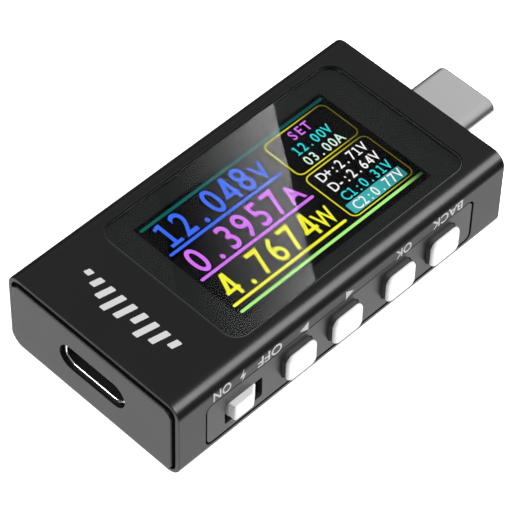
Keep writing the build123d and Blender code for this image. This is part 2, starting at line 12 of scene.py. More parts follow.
import bmesh
import bpy
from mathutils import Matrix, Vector


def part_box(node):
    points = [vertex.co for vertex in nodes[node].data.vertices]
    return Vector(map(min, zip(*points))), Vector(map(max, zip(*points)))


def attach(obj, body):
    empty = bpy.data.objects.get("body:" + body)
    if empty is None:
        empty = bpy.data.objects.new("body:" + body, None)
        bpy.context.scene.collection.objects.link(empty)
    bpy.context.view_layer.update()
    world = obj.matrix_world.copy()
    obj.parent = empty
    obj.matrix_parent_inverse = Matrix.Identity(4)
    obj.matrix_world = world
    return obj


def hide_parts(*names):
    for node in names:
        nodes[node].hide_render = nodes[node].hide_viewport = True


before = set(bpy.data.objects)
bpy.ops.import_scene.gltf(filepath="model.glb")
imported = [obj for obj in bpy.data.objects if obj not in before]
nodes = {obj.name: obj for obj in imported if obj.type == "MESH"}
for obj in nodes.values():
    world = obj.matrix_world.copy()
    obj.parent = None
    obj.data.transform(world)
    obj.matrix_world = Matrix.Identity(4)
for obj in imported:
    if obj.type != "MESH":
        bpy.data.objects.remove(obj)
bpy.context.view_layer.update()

MM = 0.001
BODY = "meter_body"

# %% [markdown]
# ## Working by hand, in code
# Every piece starts as a cube primitive that is sized, placed and then shaped in edit mode. These
# helpers do what a hand does: clear the selection, pick edges by where they lie, round them, cut
# one solid out of another and join several into one. The place is applied to the mesh at once, so
# each object stays at the origin and a pattern on Object coordinates can't slide.


# %% Selecting and placing
def only(*pieces):
    """Select some pieces alone, in object mode, and make the first the active one."""
    if bpy.context.mode != "OBJECT":
        bpy.ops.object.mode_set(mode="OBJECT")
    bpy.ops.object.select_all(action="DESELECT")
    for piece in pieces:
        piece.select_set(True)
    if pieces:
        bpy.context.view_layer.objects.active = pieces[0]


def settle():
    """Apply the place, turn and size of what is selected to its mesh."""
    bpy.ops.object.transform_apply(location=True, rotation=True, scale=True)


def block(name, low, high):
    """A cube primitive sized and placed between two corners."""
    low, high = Vector(low), Vector(high)
    only()
    bpy.ops.mesh.primitive_cube_add(size=1, location=(low + high) / 2)
    piece = bpy.context.active_object
    piece.name = name
    piece.scale = high - low
    settle()
    return piece


def pick(piece, kind, test):
    """Enter edit mode with the verts, edges or faces selected that pass a test."""
    only(piece)
    bpy.ops.object.mode_set(mode="EDIT")
    bpy.ops.mesh.select_mode(type=kind[:-1].upper())
    bpy.ops.mesh.select_all(action="DESELECT")
    mesh = bmesh.from_edit_mesh(piece.data)
    chosen = [item for item in getattr(mesh, kind) if test(item)]
    for item in chosen:
        item.select_set(True)
    bmesh.update_edit_mesh(piece.data)
    return len(chosen)


def pick_all(piece):
    """Enter edit mode with everything selected."""
    only(piece)
    bpy.ops.object.mode_set(mode="EDIT")
    bpy.ops.mesh.select_all(action="SELECT")


def done():
    """Back to object mode."""
    bpy.ops.object.mode_set(mode="OBJECT")


print("helpers ready: only, settle, block, pick, pick_all, done")


# %% Rounding, cutting and joining
AXES = {"X": Vector((1, 0, 0)), "Y": Vector((0, 1, 0)), "Z": Vector((0, 0, 1))}


def runs_along(edge, axis):
    """True if an edge is parallel to an axis."""
    direction = edge.verts[1].co - edge.verts[0].co
    return abs(direction.normalized().dot(AXES[axis])) > 0.999


def round_edges(piece, test, width, segments):
    """Bevel the edges that pass a test."""
    found = pick(piece, "edges", test)
    if found:
        bpy.ops.mesh.bevel(offset=width, segments=segments, affect="EDGES")
    done()
    return found


def bar(name, low, high, along, radius, segments=8):
    """A block whose four edges along one axis are rounded."""
    piece = block(name, low, high)
    round_edges(piece, lambda edge: runs_along(edge, along), radius, segments)
    return piece


SAME_LEVEL = 0.002 * MM


def level_test(axis, level, low=None, high=None):
    """A test for edges that lie in one plane across an axis, inside a box if it is given."""
    index = "XYZ".index(axis)

    def test(edge):
        points = [vertex.co for vertex in edge.verts]
        if any(abs(point[index] - level) > SAME_LEVEL for point in points):
            return False
        if low is None:
            return True
        return all(low[i] <= point[i] <= high[i] for point in points for i in range(3))

    return test


def combine(piece, other, operation):
    """Apply an exact boolean with another solid, then discard that solid."""
    only(piece)
    modifier = piece.modifiers.new(operation.lower(), "BOOLEAN")
    modifier.operation = operation
    modifier.solver = "EXACT"
    modifier.object = other
    bpy.ops.object.modifier_apply(modifier=modifier.name)
    bpy.data.objects.remove(other)


def cut(piece, other):
    combine(piece, other, "DIFFERENCE")


def join(pieces, name):
    """Join several pieces into one."""
    only(*pieces)
    if len(pieces) > 1:
        bpy.ops.object.join()
    pieces[0].name = name
    return pieces[0]


def flare(piece, test, wider, centre, push):
    """Extrude the picked face in place, widen it about a centre, and extrude it again."""
    pick(piece, "faces", test)
    bpy.ops.mesh.extrude_region_move(TRANSFORM_OT_translate={"value": (0, 0, 0)})
    bpy.ops.transform.resize(value=wider, center_override=centre)
    bpy.ops.mesh.extrude_region_move(TRANSFORM_OT_translate={"value": push})
    done()


def grown(low, high, by):
    """A box grown by a distance on every side."""
    step = Vector((by, by, by))
    return Vector(low) - step, Vector(high) + step


print("helpers ready: round_edges, bar, level_test, combine, cut, join, flare, grown")


# %% Materials and nodes
def new_material(name, **uniform):
    """A Principled material, its tree and its shader; uniform inputs are set by name."""
    material = bpy.data.materials.new(name)
    material.use_nodes = True
    shader = material.node_tree.nodes["Principled BSDF"]
    for label, value in uniform.items():
        shader.inputs[label.replace("_", " ")].default_value = value
    return material, material.node_tree, shader


def node(tree, kind, **settings):
    """A node with its settings made; inputs are given by name or number as a dictionary."""
    made = tree.nodes.new(kind)
    inputs = settings.pop("inputs", {})
    for key, value in settings.items():
        setattr(made, key, value)
    for key, value in inputs.items():
        made.inputs[key].default_value = value
    return made


def wire(tree, *runs):
    """Join sockets; a run is a source node, its output, a target node and its input."""
    for source, output, target, socket in runs:
        tree.links.new(source.outputs[output], target.inputs[socket])


print("helpers ready: new_material, node, wire")

# %% [markdown]
# ## Camera
# A long lens from well above the receptacle end keeps the edges almost parallel, as in a
# catalogue view. The camera is placed by where it aims, its heading, its height angle and a
# slight roll, so each of these can be changed without upsetting the others.

# %% Camera
AIM = Vector((-1.11, -0.49, 5.5)) * MM
HEADING = math.radians(46.25)
HEIGHT_ANGLE = math.radians(50.42)
ROLL = math.radians(1.535)
DISTANCE = 306.2 * MM
LENS = 208.44

flat = math.cos(HEIGHT_ANGLE)
forward = Vector((math.sin(HEADING) * flat, math.cos(HEADING) * flat, -math.sin(HEIGHT_ANGLE)))
camera_data = bpy.data.cameras.new("camera")
camera_data.lens = LENS
camera_data.clip_start = 0.01
camera_data.clip_end = 10
camera = bpy.data.objects.new("camera", camera_data)
bpy.context.scene.collection.objects.link(camera)
camera.location = AIM - forward * DISTANCE
camera.rotation_euler = forward.to_track_quat("-Z", "Y").to_euler()
camera.rotation_euler.rotate_axis("Z", ROLL)
bpy.context.scene.camera = camera
print("camera at", [round(c / MM, 1) for c in camera.location], "mm")

# %% [markdown]
# ## Floor and lights
# The meter lies on a pale floor that glows a little, as translucent acrylic lit from below does,
# so the floor stays almost free of shadow and lights the sides of the black case from beneath.
# Two soft boxes stand where the rounded edges mirror them: one in front on the right, which draws
# the long bright band on the upper edge, and one behind on the left, which draws the thin line
# along the end. The front box is flagged off the plug, where its mirror image would burn out. The
# black case is mostly seen by what it mirrors, so the room around it is a smooth gradient: grey
# overhead for the top, dark at the height of the table for the rounded edge's dark band, and
# bright well below it, so the sides read as dark grey. The table itself isn't mirrored. The colour
# view is plain sRGB.

# %% Floor
FLOOR_SIZE = 4
FLOOR_DROP = 0.02 * MM
bpy.context.scene.view_settings.view_transform = "Standard"
only()
bpy.ops.mesh.primitive_plane_add(size=FLOOR_SIZE, location=(0, 0, -FLOOR_DROP))
floor = bpy.context.active_object
floor.name = "floor"
floor.visible_glossy = False
floor.visible_shadow = False
floor_paint, tree, shader = new_material(
    "pale_acrylic",
    Base_Color=(0.82, 0.82, 0.82, 1),
    Roughness=0.9,
    Specular_IOR_Level=0.1,
    Emission_Color=(1, 1, 1, 1),
    Emission_Strength=1.0,
)
floor.data.materials.append(floor_paint)
print("floor:", [round(side, 2) for side in floor.dimensions], "m")


# %% Soft boxes
def soft_box(name, direction, distance, width, height, radiance):
    """An area light aimed at the meter, given the direction towards it and its brightness."""
    data = bpy.data.lights.new(name, "AREA")
    data.shape = "RECTANGLE"
    data.size = width
    data.size_y = height
    data.energy = radiance * math.pi * width * height
    light = bpy.data.objects.new(name, data)
    bpy.context.scene.collection.objects.link(light)
    toward = Vector(direction).normalized()
    light.location = AIM + toward * distance
    light.rotation_euler = (-toward).to_track_quat("-Z", "Y").to_euler()
    print(f"{name}: {data.energy:.2f} W")
    return light


BOX_DISTANCE = 0.6
front_box = soft_box("front_box", (0.46, -0.55, 0.66), BOX_DISTANCE, 0.5, 0.38, 11.0)
flagged = bpy.data.collections.new("flagged_from_front_box")
front_box.light_linking.receiver_collection = flagged
soft_box("back_box", (-0.771, 0.441, 0.46), BOX_DISTANCE, 0.34, 0.3, 8.0)

# %% Studio walls
OVERHEAD = 0.5
TABLE_LEVEL = 0.06
BELOW = 1.4
# each ramp runs between two heights of the view direction, from one brightness to another
RAMPS = ((0.0, 0.55, TABLE_LEVEL, OVERHEAD), (-0.70, -0.48, BELOW, 0.0))

world = bpy.data.worlds.new("studio")
world.use_nodes = True
tree = world.node_tree
facing = node(tree, "ShaderNodeTexCoord")
split = node(tree, "ShaderNodeSeparateXYZ")
total = node(tree, "ShaderNodeMath", operation="ADD")
for count, (start, end, first, last) in enumerate(RAMPS):
    steps = {"From Min": start, "From Max": end, "To Min": first, "To Max": last}
    rise = node(tree, "ShaderNodeMapRange", interpolation_type="SMOOTHSTEP", inputs=steps)
    wire(tree, (split, "Z", rise, "Value"), (rise, "Result", total, count))
background = tree.nodes["Background"]
background.inputs["Color"].default_value = (1, 1, 1, 1)
wire(tree, (facing, "Generated", split, 0), (total, 0, background, "Strength"))
bpy.context.scene.world = world
print("studio walls:", OVERHEAD, "overhead,", TABLE_LEVEL, "level,", BELOW, "below")

# %% [markdown]
# ## The reflection in the glass
# The glass mirrors the edge of a lit card as a slanting streak that is brightest along one side
# and fades towards the other. The card is found by mirroring the camera in the glass and
# following the two ends of the streak out to the card's distance. It is a stage object that only
# reflections can see, and its light fades across its width, and slowly down its length, by its
# own UV map. Light linking keeps it for the glass alone, so the case around the glass stays
# black.

# %% Streak card
glass_low, glass_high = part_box("display_window")
STREAK_TOP = (11.75, 9.97)
STREAK_BOTTOM = (-2.44, -10.03)
STREAK_WIDTH = 17.0
CARD_DISTANCE = 0.5
CARD_OVERRUN = 0.6
CARD_FADE = 2.2
CARD_GLOW = (42.0, 16.0)


def card_corner(u, v):
    """Where a corner's mirror ray meets the card; u is 1 on the sharp side, v runs down it."""
    share = v * (1 + 2 * CARD_OVERRUN) - CARD_OVERRUN
    x = STREAK_TOP[0] + (STREAK_BOTTOM[0] - STREAK_TOP[0]) * share - (1 - u) * STREAK_WIDTH
    y = STREAK_TOP[1] + (STREAK_BOTTOM[1] - STREAK_TOP[1]) * share
    mirror = Vector(camera.location)
    mirror.z = 2 * glass_high.z - mirror.z
    through = Vector((x * MM, y * MM, glass_high.z))
    return through + (through - mirror).normalized() * CARD_DISTANCE


only()
bpy.ops.mesh.primitive_plane_add(size=1)
card = bpy.context.active_object
card.name = "streak_card"
for loop in card.data.loops:
    u, v = card.data.uv_layers[0].data[loop.index].uv
    card.data.vertices[loop.vertex_index].co = card_corner(round(u), round(v))
card.visible_camera = False
card.visible_diffuse = False
card.visible_shadow = False
card_glow = bpy.data.materials.new("card_glow")
card_glow.use_nodes = True
tree = card_glow.node_tree
tree.nodes.clear()
spread = node(tree, "ShaderNodeUVMap")
split = node(tree, "ShaderNodeSeparateXYZ")
fade = node(tree, "ShaderNodeMath", operation="POWER", inputs={1: CARD_FADE})
sink = node(tree, "ShaderNodeMapRange", inputs={"To Min": CARD_GLOW[0], "To Max": CARD_GLOW[1]})
strength = node(tree, "ShaderNodeMath", operation="MULTIPLY")
glow = node(tree, "ShaderNodeEmission")
card_out = node(tree, "ShaderNodeOutputMaterial")
wire(
    tree,
    (spread, "UV", split, 0),
    (split, "X", fade, 0),
    (split, "Y", sink, "Value"),
    (fade, 0, strength, 0),
    (sink, "Result", strength, 1),
    (strength, 0, glow, "Strength"),
    (glow, 0, card_out, "Surface"),
)
card.data.materials.append(card_glow)
mirrors = bpy.data.collections.new("card_mirrors")
card.light_linking.receiver_collection = mirrors
print("streak card spans", [round(side / MM) for side in card.dimensions], "mm")

# %% [markdown]
# ## Shared effects
# Four effects turn up in most finishes, so each is a node group that is built once. Grain is the
# fine texture of bead-blasted metal or moulded plastic, smudge is the slow change of gloss that
# handling leaves, edge wear finds the sharp edges by comparing the true normal with a softened
# one, and pixel grid breaks a screen colour into the display's rows and columns. The groups put
# out only values and colours; the shader itself stays in each material.


# %% Building groups
def new_group(name, inputs, outputs):
    """A shader node group with named sockets; numbers and colours have a default."""
    group = bpy.data.node_groups.new(name, "ShaderNodeTree")
    for label, value in inputs.items():
        kind = "NodeSocketFloat" if isinstance(value, (int, float)) else "NodeSocketColor"
        socket = group.interface.new_socket(name=label, in_out="INPUT", socket_type=kind)
        socket.default_value = value
    for label, kind in outputs.items():
        group.interface.new_socket(name=label, in_out="OUTPUT", socket_type=kind)
    return group, group.nodes.new("NodeGroupInput"), group.nodes.new("NodeGroupOutput")


grain, take, give = new_group("grain", {"Scale": 9000.0}, {"Height": "NodeSocketFloat"})
place = node(grain, "ShaderNodeTexCoord")
speckle = node(grain, "ShaderNodeTexNoise", inputs={"Detail": 3.0, "Roughness": 0.6})
wire(
    grain,
    (place, "Object", speckle, "Vector"),
    (take, "Scale", speckle, "Scale"),
    (speckle, "Fac", give, "Height"),
)

smudge, take, give = new_group(
    "smudge", {"Scale": 90.0, "Low": 0.3, "High": 0.4}, {"Roughness": "NodeSocketFloat"}
)
place = node(smudge, "ShaderNodeTexCoord")
cloud = node(smudge, "ShaderNodeTexNoise", inputs={"Detail": 5.0, "Roughness": 0.65})
spread = node(smudge, "ShaderNodeMapRange", inputs={"From Min": 0.3, "From Max": 0.7})
wire(
    smudge,
    (place, "Object", cloud, "Vector"),
    (take, "Scale", cloud, "Scale"),
    (cloud, "Fac", spread, "Value"),
    (take, "Low", spread, "To Min"),
    (take, "High", spread, "To Max"),
    (spread, "Result", give, "Roughness"),
)

wear, take, give = new_group(
    "edge_wear",
    {"Base": (0.01, 0.01, 0.01, 1), "Worn": (0.1, 0.1, 0.1, 1)},
    {"Color": "NodeSocketColor"},
)
softened = node(wear, "ShaderNodeBevel", samples=4, inputs={"Radius": 0.12 * MM})
true_shape = node(wear, "ShaderNodeNewGeometry")
agree = node(wear, "ShaderNodeVectorMath", operation="DOT_PRODUCT")
edge = node(wear, "ShaderNodeMapRange", inputs={"From Min": 0.97, "From Max": 0.80})
patchy = node(wear, "ShaderNodeTexNoise", inputs={"Scale": 900.0, "Detail": 3.0})
place = node(wear, "ShaderNodeTexCoord")
share = node(wear, "ShaderNodeMath", operation="MULTIPLY")
blend = node(wear, "ShaderNodeMix", data_type="RGBA")
wire(
    wear,
    (softened, "Normal", agree, 0),
    (true_shape, "Normal", agree, 1),
    (agree, "Value", edge, "Value"),
    (place, "Object", patchy, "Vector"),
    (edge, "Result", share, 0),
    (patchy, "Fac", share, 1),
    (share, 0, blend, "Factor"),
    (take, "Base", blend, "A"),
    (take, "Worn", blend, "B"),
    (blend, "Result", give, "Color"),
)
print("groups:", [group.name for group in bpy.data.node_groups])

# %% [markdown]
# The display's light is the last shared effect: its colour is dimmed along fine dark lines one
# pixel apart, and it can fade between two places along the screen, as a small screen does when
# its edge is seen from the side.

# %% Pixel grid
PIXEL = 0.11 * MM
GRID_LINE = {"From Min": 0.0, "From Max": 0.22, "To Min": 0.8}
pixels, take, give = new_group(
    "pixel_grid",
    {"Color": (1, 1, 1, 1), "Fade From": 1.0, "Fade To": 2.0, "Dimmest": 0.0},
    {"Color": "NodeSocketColor"},
)
place = node(pixels, "ShaderNodeTexCoord")
split = node(pixels, "ShaderNodeSeparateXYZ")
grid = node(pixels, "ShaderNodeMath", operation="MULTIPLY")
wire(pixels, (place, "Object", split, 0))
for index, axis in enumerate("XY"):
    count = node(pixels, "ShaderNodeMath", operation="DIVIDE", inputs={1: PIXEL})
    part = node(pixels, "ShaderNodeMath", operation="FRACT")
    away = node(pixels, "ShaderNodeMath", operation="PINGPONG", inputs={1: 0.5})
    line = node(pixels, "ShaderNodeMapRange", inputs=GRID_LINE)
    wire(
        pixels,
        (split, axis, count, 0),
        (count, 0, part, 0),
        (part, 0, away, 0),
        (away, 0, line, "Value"),
        (line, "Result", grid, index),
    )
fall = node(
    pixels, "ShaderNodeMapRange", interpolation_type="SMOOTHSTEP", inputs={"To Min": 1.0}
)
both = node(pixels, "ShaderNodeMath", operation="MULTIPLY")
shown = node(pixels, "ShaderNodeVectorMath", operation="SCALE")
wire(
    pixels,
    (split, "X", fall, "Value"),
    (take, "Fade From", fall, "From Min"),
    (take, "Fade To", fall, "From Max"),
    (take, "Dimmest", fall, "To Max"),
    (grid, 0, both, 0),
    (fall, "Result", both, 1),
    (take, "Color", shown, 0),
    (both, 0, shown, "Scale"),
    (shown, 0, give, "Color"),
)
print("pixel pitch", round(PIXEL / MM, 3), "mm")

# %% [markdown]
# ## Finishes
# A finish is a Principled shader fed by those groups: edge wear gives the colour, smudge the
# roughness and grain the bump. Gloss that is the same all over, such as metallic or coat, is set
# on the shader itself. One function wires them, so a finish is a few numbers that a maker would
# recognise: the colour, the colour where it is rubbed, how glossy, and how coarse the grain is.


# %% Making a finish
def finish(name, base, worn, gloss, grain_scale, bump=0.1, bump_depth=0.004, **uniform):
    """A material from a colour, its worn colour, a range of roughness and a grain."""
    material, tree, shader = new_material(name, **uniform)
    colours = {"Base": (*base, 1), "Worn": (*worn, 1)}
    rubbed = node(tree, "ShaderNodeGroup", node_tree=wear, inputs=colours)
    sheen = {"Low": gloss[0], "High": gloss[1]}
    handled = node(tree, "ShaderNodeGroup", node_tree=smudge, inputs=sheen)
    texture = node(tree, "ShaderNodeGroup", node_tree=grain, inputs={"Scale": grain_scale})
    relief = node(tree, "ShaderNodeBump", inputs={"Strength": bump, "Distance": bump_depth * MM})
    wire(
        tree,
        (rubbed, "Color", shader, "Base Color"),
        (handled, "Roughness", shader, "Roughness"),
        (texture, "Height", relief, "Height"),
        (relief, "Normal", shader, "Normal"),
    )
    return material


def grey(value):
    return (value, value, value)


LOW_GLOSS = {"Specular_IOR_Level": 0.3}
anodised = finish(
    "black_anodised_aluminium", grey(0.004), grey(0.04), (0.27, 0.33), 14000, 0.25, **LOW_GLOSS
)
cap_black = finish(
    "black_anodised_cap", grey(0.005), grey(0.05), (0.27, 0.34), 14000, 0.25, **LOW_GLOSS
)
panel_black = finish("black_moulded_panel", grey(0.010), grey(0.03), (0.30, 0.38), 9000, 0.2)
white_plastic = finish(
    "white_moulded_keys", (0.47, 0.47, 0.467), (0.44, 0.44, 0.437), (0.42, 0.5), 9000, 0.25, 0.006
)
# the skirt's black is painted shade: it stands in for the shade on each key's top and left sides
key_sides_painted_shade = finish("key_skirt_painted_shade", grey(0.03), grey(0.06), (0.5, 0.6), 9000, 0.2)
print("finishes:", len(bpy.data.materials))

# %% [markdown]
# ## The case
# The real case is a length of aluminium tube, milled for the window and the side panel, bead
# blasted and anodised black. It is made the same way here: a block with four rounded edges, a
# small chamfer at each end, a bar cut right through it, a rebate at each end for the caps, and
# then the window seat, the sight opening and the panel opening. Rounding first and cutting
# afterwards keeps the long edges clean.

# %% Case body
case_low, case_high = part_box("case")
EDGE_RADIUS = 1.7 * MM
END_CHAMFER = 0.15 * MM
SIDE_WALL = 1.0 * MM
TOP_WALL = 1.25 * MM
BOTTOM_WALL = 1.2 * MM
RIM_WALL = 0.5 * MM
RIM_RADIUS = 1.2 * MM
REBATE_DEPTH = 1.3 * MM
SEAT_GAP = 0.09 * MM
CAVITY_RADIUS = 0.4 * MM
REACH = 5 * MM

case = bar("case_shell", case_low, case_high, "X", EDGE_RADIUS, 20)
for end in (case_low.x, case_high.x):
    round_edges(case, level_test("X", end), END_CHAMFER, 2)

cavity_low = Vector((case_low.x - REACH, case_low.y + SIDE_WALL, BOTTOM_WALL))
cavity_high = Vector((case_high.x + REACH, case_high.y - SIDE_WALL, case_high.z - TOP_WALL))
cut(case, bar("cavity", cavity_low, cavity_high, "X", CAVITY_RADIUS, 4))
rim = Vector((0, RIM_WALL, RIM_WALL))
for end in (-1, 1):
    inner = end * (case_high.x - REBATE_DEPTH)
    outer = end * (case_high.x + REACH)
    low = Vector((min(inner, outer), case_low.y, case_low.z)) + rim
    high = Vector((max(inner, outer), case_high.y, case_high.z)) - rim
    cut(case, bar("rebate", low, high, "X", RIM_RADIUS, 12))
print("case shell:", len(case.data.vertices), "vertices")

# %% Window seat and panel opening
panel_low, panel_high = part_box("side_panel")
adhesive_low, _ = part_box("window_adhesive")
OPENING_LOW = Vector((-19.99, 0, 1.71)) * MM
OPENING_HIGH = Vector((19.11, 0, 8.11)) * MM
OPENING_RADIUS = 1.0 * MM
WINDOW_RADIUS = 1.9 * MM
SIGHT_SHIFT = Vector((-0.36, 0, 0)) * MM
SIGHT_HALF = Vector((15.2, 8.95, 0)) * MM
SIGHT_LEVELS = (9 * MM, 12 * MM)
SIGHT_RADIUS = 0.8 * MM
OPENING_OVERCUT = 0.2 * MM
BREAK = 0.05 * MM

seat_low, seat_high = grown(glass_low, glass_high, SEAT_GAP)
seat_low.z = adhesive_low.z
seat_high.z += REACH
cut(case, bar("seat", seat_low, seat_high, "Z", WINDOW_RADIUS + SEAT_GAP, 12))
middle = (glass_low + glass_high) / 2
sight_low = middle + SIGHT_SHIFT - SIGHT_HALF
sight_high = middle + SIGHT_SHIFT + SIGHT_HALF
sight_low.z, sight_high.z = SIGHT_LEVELS
cut(case, bar("sight", sight_low, sight_high, "Z", SIGHT_RADIUS, 6))
opening_low = Vector((OPENING_LOW.x, case_low.y - REACH, OPENING_LOW.z))
opening_high = Vector((OPENING_HIGH.x, case_low.y + SIDE_WALL + OPENING_OVERCUT, OPENING_HIGH.z))
cut(case, bar("opening", opening_low, opening_high, "Y", OPENING_RADIUS, 10))
near_low, near_high = grown(seat_low, seat_high, BREAK)
broken = round_edges(case, level_test("Z", case_high.z, near_low, near_high), BREAK, 2)
near_low, near_high = grown(opening_low, opening_high, BREAK)
broken += round_edges(case, level_test("Y", case_low.y, near_low, near_high), BREAK, 2)
print("case rims:", broken, "edges broken")

# %% [markdown]
# A finished piece is shaded smooth up to a set angle, with its normals weighted by face area so
# that the broad flats stay flat beside their rounded edges. Then it is given its finish and its
# body, and the frame nodes it stands for are hidden.


# %% Finishing a piece
def complete(piece, material, stands_for=(), body=BODY, angle=40):
    """Smooth, finish and attach one piece."""
    only(piece)
    bpy.ops.object.shade_smooth_by_angle(angle=math.radians(angle))
    even = piece.modifiers.new("even_shading", "WEIGHTED_NORMAL")
    even.keep_sharp = True
    bpy.ops.object.modifier_apply(modifier=even.name)
    piece.data.materials.clear()
    piece.data.materials.append(material)
    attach(piece, body)
    if stands_for:
        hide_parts(*stands_for)
    print(f"{piece.name}: {len(piece.data.polygons)} faces on {body}")
    return piece


# %% [markdown]
# ## The generic mark
# The makers of such meters engrave a word on the top face. A plain motif of slanted level bars
# takes its place here: it belongs to no one and says nothing. Each bar is a block whose upper
# side is slid along in edit mode. The bars are cut a hair deep into the case and a pale inlay
# stands in the cuts, just below the surface.

# %% Mark bars
MARK_X = (-20.2, -17.5)
MARK_Y = (-6.5, 6.9)
MARK_HEIGHTS = (0.45, 0.8, 1.0, 0.62, 0.9, 1.0, 0.74, 0.5, 0.28)
MARK_BAR = 0.78
MARK_SLANT = 0.5
MARK_RADIUS = 0.12 * MM
MARK_DEPTH = 0.03
INLAY_SINK = 0.006


def mark_bars(name, top):
    """The row of slanted bars as one mesh, from the engraving's floor up to a level."""
    step = (MARK_Y[1] - MARK_Y[0] - MARK_BAR) / (len(MARK_HEIGHTS) - 1)
    reach = MARK_X[1] - MARK_X[0]
    bars = []
    for count, share in enumerate(MARK_HEIGHTS):
        start = MARK_Y[0] + count * step
        low = Vector((MARK_X[1] - reach * share, start, case_high.z / MM - MARK_DEPTH)) * MM
        high = Vector((MARK_X[1], start + MARK_BAR, top)) * MM
        piece = bar(name, low, high, "Z", MARK_RADIUS, 3)
        pick(piece, "verts", lambda vertex: vertex.co.x < (low.x + high.x) / 2)
        bpy.ops.transform.translate(value=(0, MARK_SLANT * share * MM, 0))
        done()
        bars.append(piece)
    return join(bars, name)


engraved = finish("pale_engraving", grey(0.38), grey(0.42), (0.45, 0.6), 12000, 0.3)
cut(case, mark_bars("mark_cut", case_high.z / MM + 1))
mark = mark_bars("top_mark_inlay", case_high.z / MM - INLAY_SINK)
complete(mark, engraved)
complete(case, anodised, ["case"], angle=30)

# %% [markdown]
# ## End caps
# Each cap is a machined plate with a wider foot behind it that seats in the tube's rebate. The
# plate is a rounded bar; its back face is extruded in place, widened to the foot and extruded
# again. The face edge is rounded so that it catches a thin line of light, and the port is cut
# through last, with its mouth broken by a small bevel.

# %% Making a cap
CAP_GROOVE = 0.33 * MM
CAP_STEP = 0.5 * MM
CAP_RADIUS = 1.0 * MM
CAP_EDGE_RADIUS = 0.14 * MM
PORT_EDGE_RADIUS = 0.07 * MM
WELD = 0.005 * MM


def stadium(name, low, high, segments=12):
    """A bar along X with fully round sides."""
    piece = bar(name, low, high, "X", (high.z - low.z) / 2 - 0.001 * MM, segments)
    pick_all(piece)
    bpy.ops.mesh.remove_doubles(threshold=WELD)
    done()
    return piece


def end_cap(name, side, port_low, port_high):
    """One cap: side is -1 at the receptacle and 1 at the plug."""
    cap_low, cap_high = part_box(name)
    face = cap_low.x if side < 0 else cap_high.x
    back = cap_high.x if side < 0 else cap_low.x
    step = side * (case_high.x - CAP_STEP)
    inset = Vector((0, CAP_GROOVE + RIM_WALL, CAP_GROOVE + RIM_WALL))
    low = Vector((min(face, step), case_low.y, case_low.z)) + inset
    high = Vector((max(face, step), case_high.y, case_high.z)) - inset
    piece = bar(name + "_machined", low, high, "X", CAP_RADIUS, 12)
    wider = [
        1,
        (cap_high.y - cap_low.y) / (high.y - low.y),
        (cap_high.z - cap_low.z) / (high.z - low.z),
    ]
    centre = (step, 0, (low.z + high.z) / 2)
    flare(piece, lambda f: f.normal.x * side < -0.9, wider, centre, (back - step, 0, 0))
    round_edges(piece, level_test("X", face), CAP_EDGE_RADIUS, 4)
    cut(piece, stadium("port", port_low, port_high))
    near_low, near_high = grown(port_low, port_high, BREAK)
    round_edges(piece, level_test("X", face, near_low, near_high), PORT_EDGE_RADIUS, 3)
    return complete(piece, cap_black, [name], angle=30)


# %% Both caps
shell_low, shell_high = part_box("receptacle_shell")
plug_low, plug_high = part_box("plug_shell")
RECEPTACLE_GAP = Vector((0, 0.26, 0.07)) * MM
SHELL_HALF = 4.47 * MM
SHELL_Y = -0.2 * MM
SHELL_RISE = (4.11 * MM, 7.37 * MM)
PLUG_GAP = 0.1 * MM

mouth_low = Vector((case_low.x - REACH, SHELL_Y - SHELL_HALF, SHELL_RISE[0])) - RECEPTACLE_GAP
mouth_high = Vector((case_low.x + REACH, SHELL_Y + SHELL_HALF, SHELL_RISE[1])) + RECEPTACLE_GAP
end_cap("receptacle_end_cap", -1, mouth_low, mouth_high)
plug_port_low, plug_port_high = grown(plug_low, plug_high, PLUG_GAP)
plug_port_low.x = case_high.x - REACH
end_cap("plug_end_cap", 1, plug_port_low, plug_port_high)

# %% [markdown]
# ## Side panel
# The panel is a moulded plate that fills the opening in the long side, with a flange behind the
# wall that keeps it in. The keys and the slide switch come through it, so it is cut with one
# opening for each, read from the keys' own boxes. Its outline and every opening are broken by a
# small bevel, as a mould leaves them.

# %% Panel
PANEL_GAP = 0.22 * MM
KEY_GAP = 0.12 * MM
KEY_FLANGE_LAP = 0.5 * MM
KEY_RADIUS = 0.9 * MM
KEYS = ("left", "right", "ok", "back")
SLOT_RADIUS = 0.25 * MM
SLOT_LOW = Vector((-17.3, 0, 3.05)) * MM
SLOT_HIGH = Vector((-12.05, 0, 6.05)) * MM
PANEL_EDGE_RADIUS = 0.06 * MM
HOLE_EDGE_RADIUS = 0.04 * MM
FLANGE_OVERLAP = 0.1 * MM
wall_inner = case_low.y + SIDE_WALL

gap = Vector((PANEL_GAP, 0, PANEL_GAP))
front_low = Vector((OPENING_LOW.x, panel_low.y, OPENING_LOW.z)) + gap
front_high = Vector((OPENING_HIGH.x, wall_inner + FLANGE_OVERLAP, OPENING_HIGH.z)) - gap
panel = bar("side_panel_moulding", front_low, front_high, "Y", OPENING_RADIUS - PANEL_GAP, 10)
round_edges(panel, level_test("Y", panel_low.y), PANEL_EDGE_RADIUS, 2)
flange_low = Vector((panel_low.x, wall_inner, panel_low.z))
flange = bar("flange", flange_low, panel_high, "Y", OPENING_RADIUS, 6)
combine(panel, flange, "UNION")


def key_window(low, high):
    """The front of a key, without its flange, as a box in the panel's plane."""
    lap = Vector((KEY_FLANGE_LAP, 0, KEY_FLANGE_LAP))
    return low + lap, high - lap


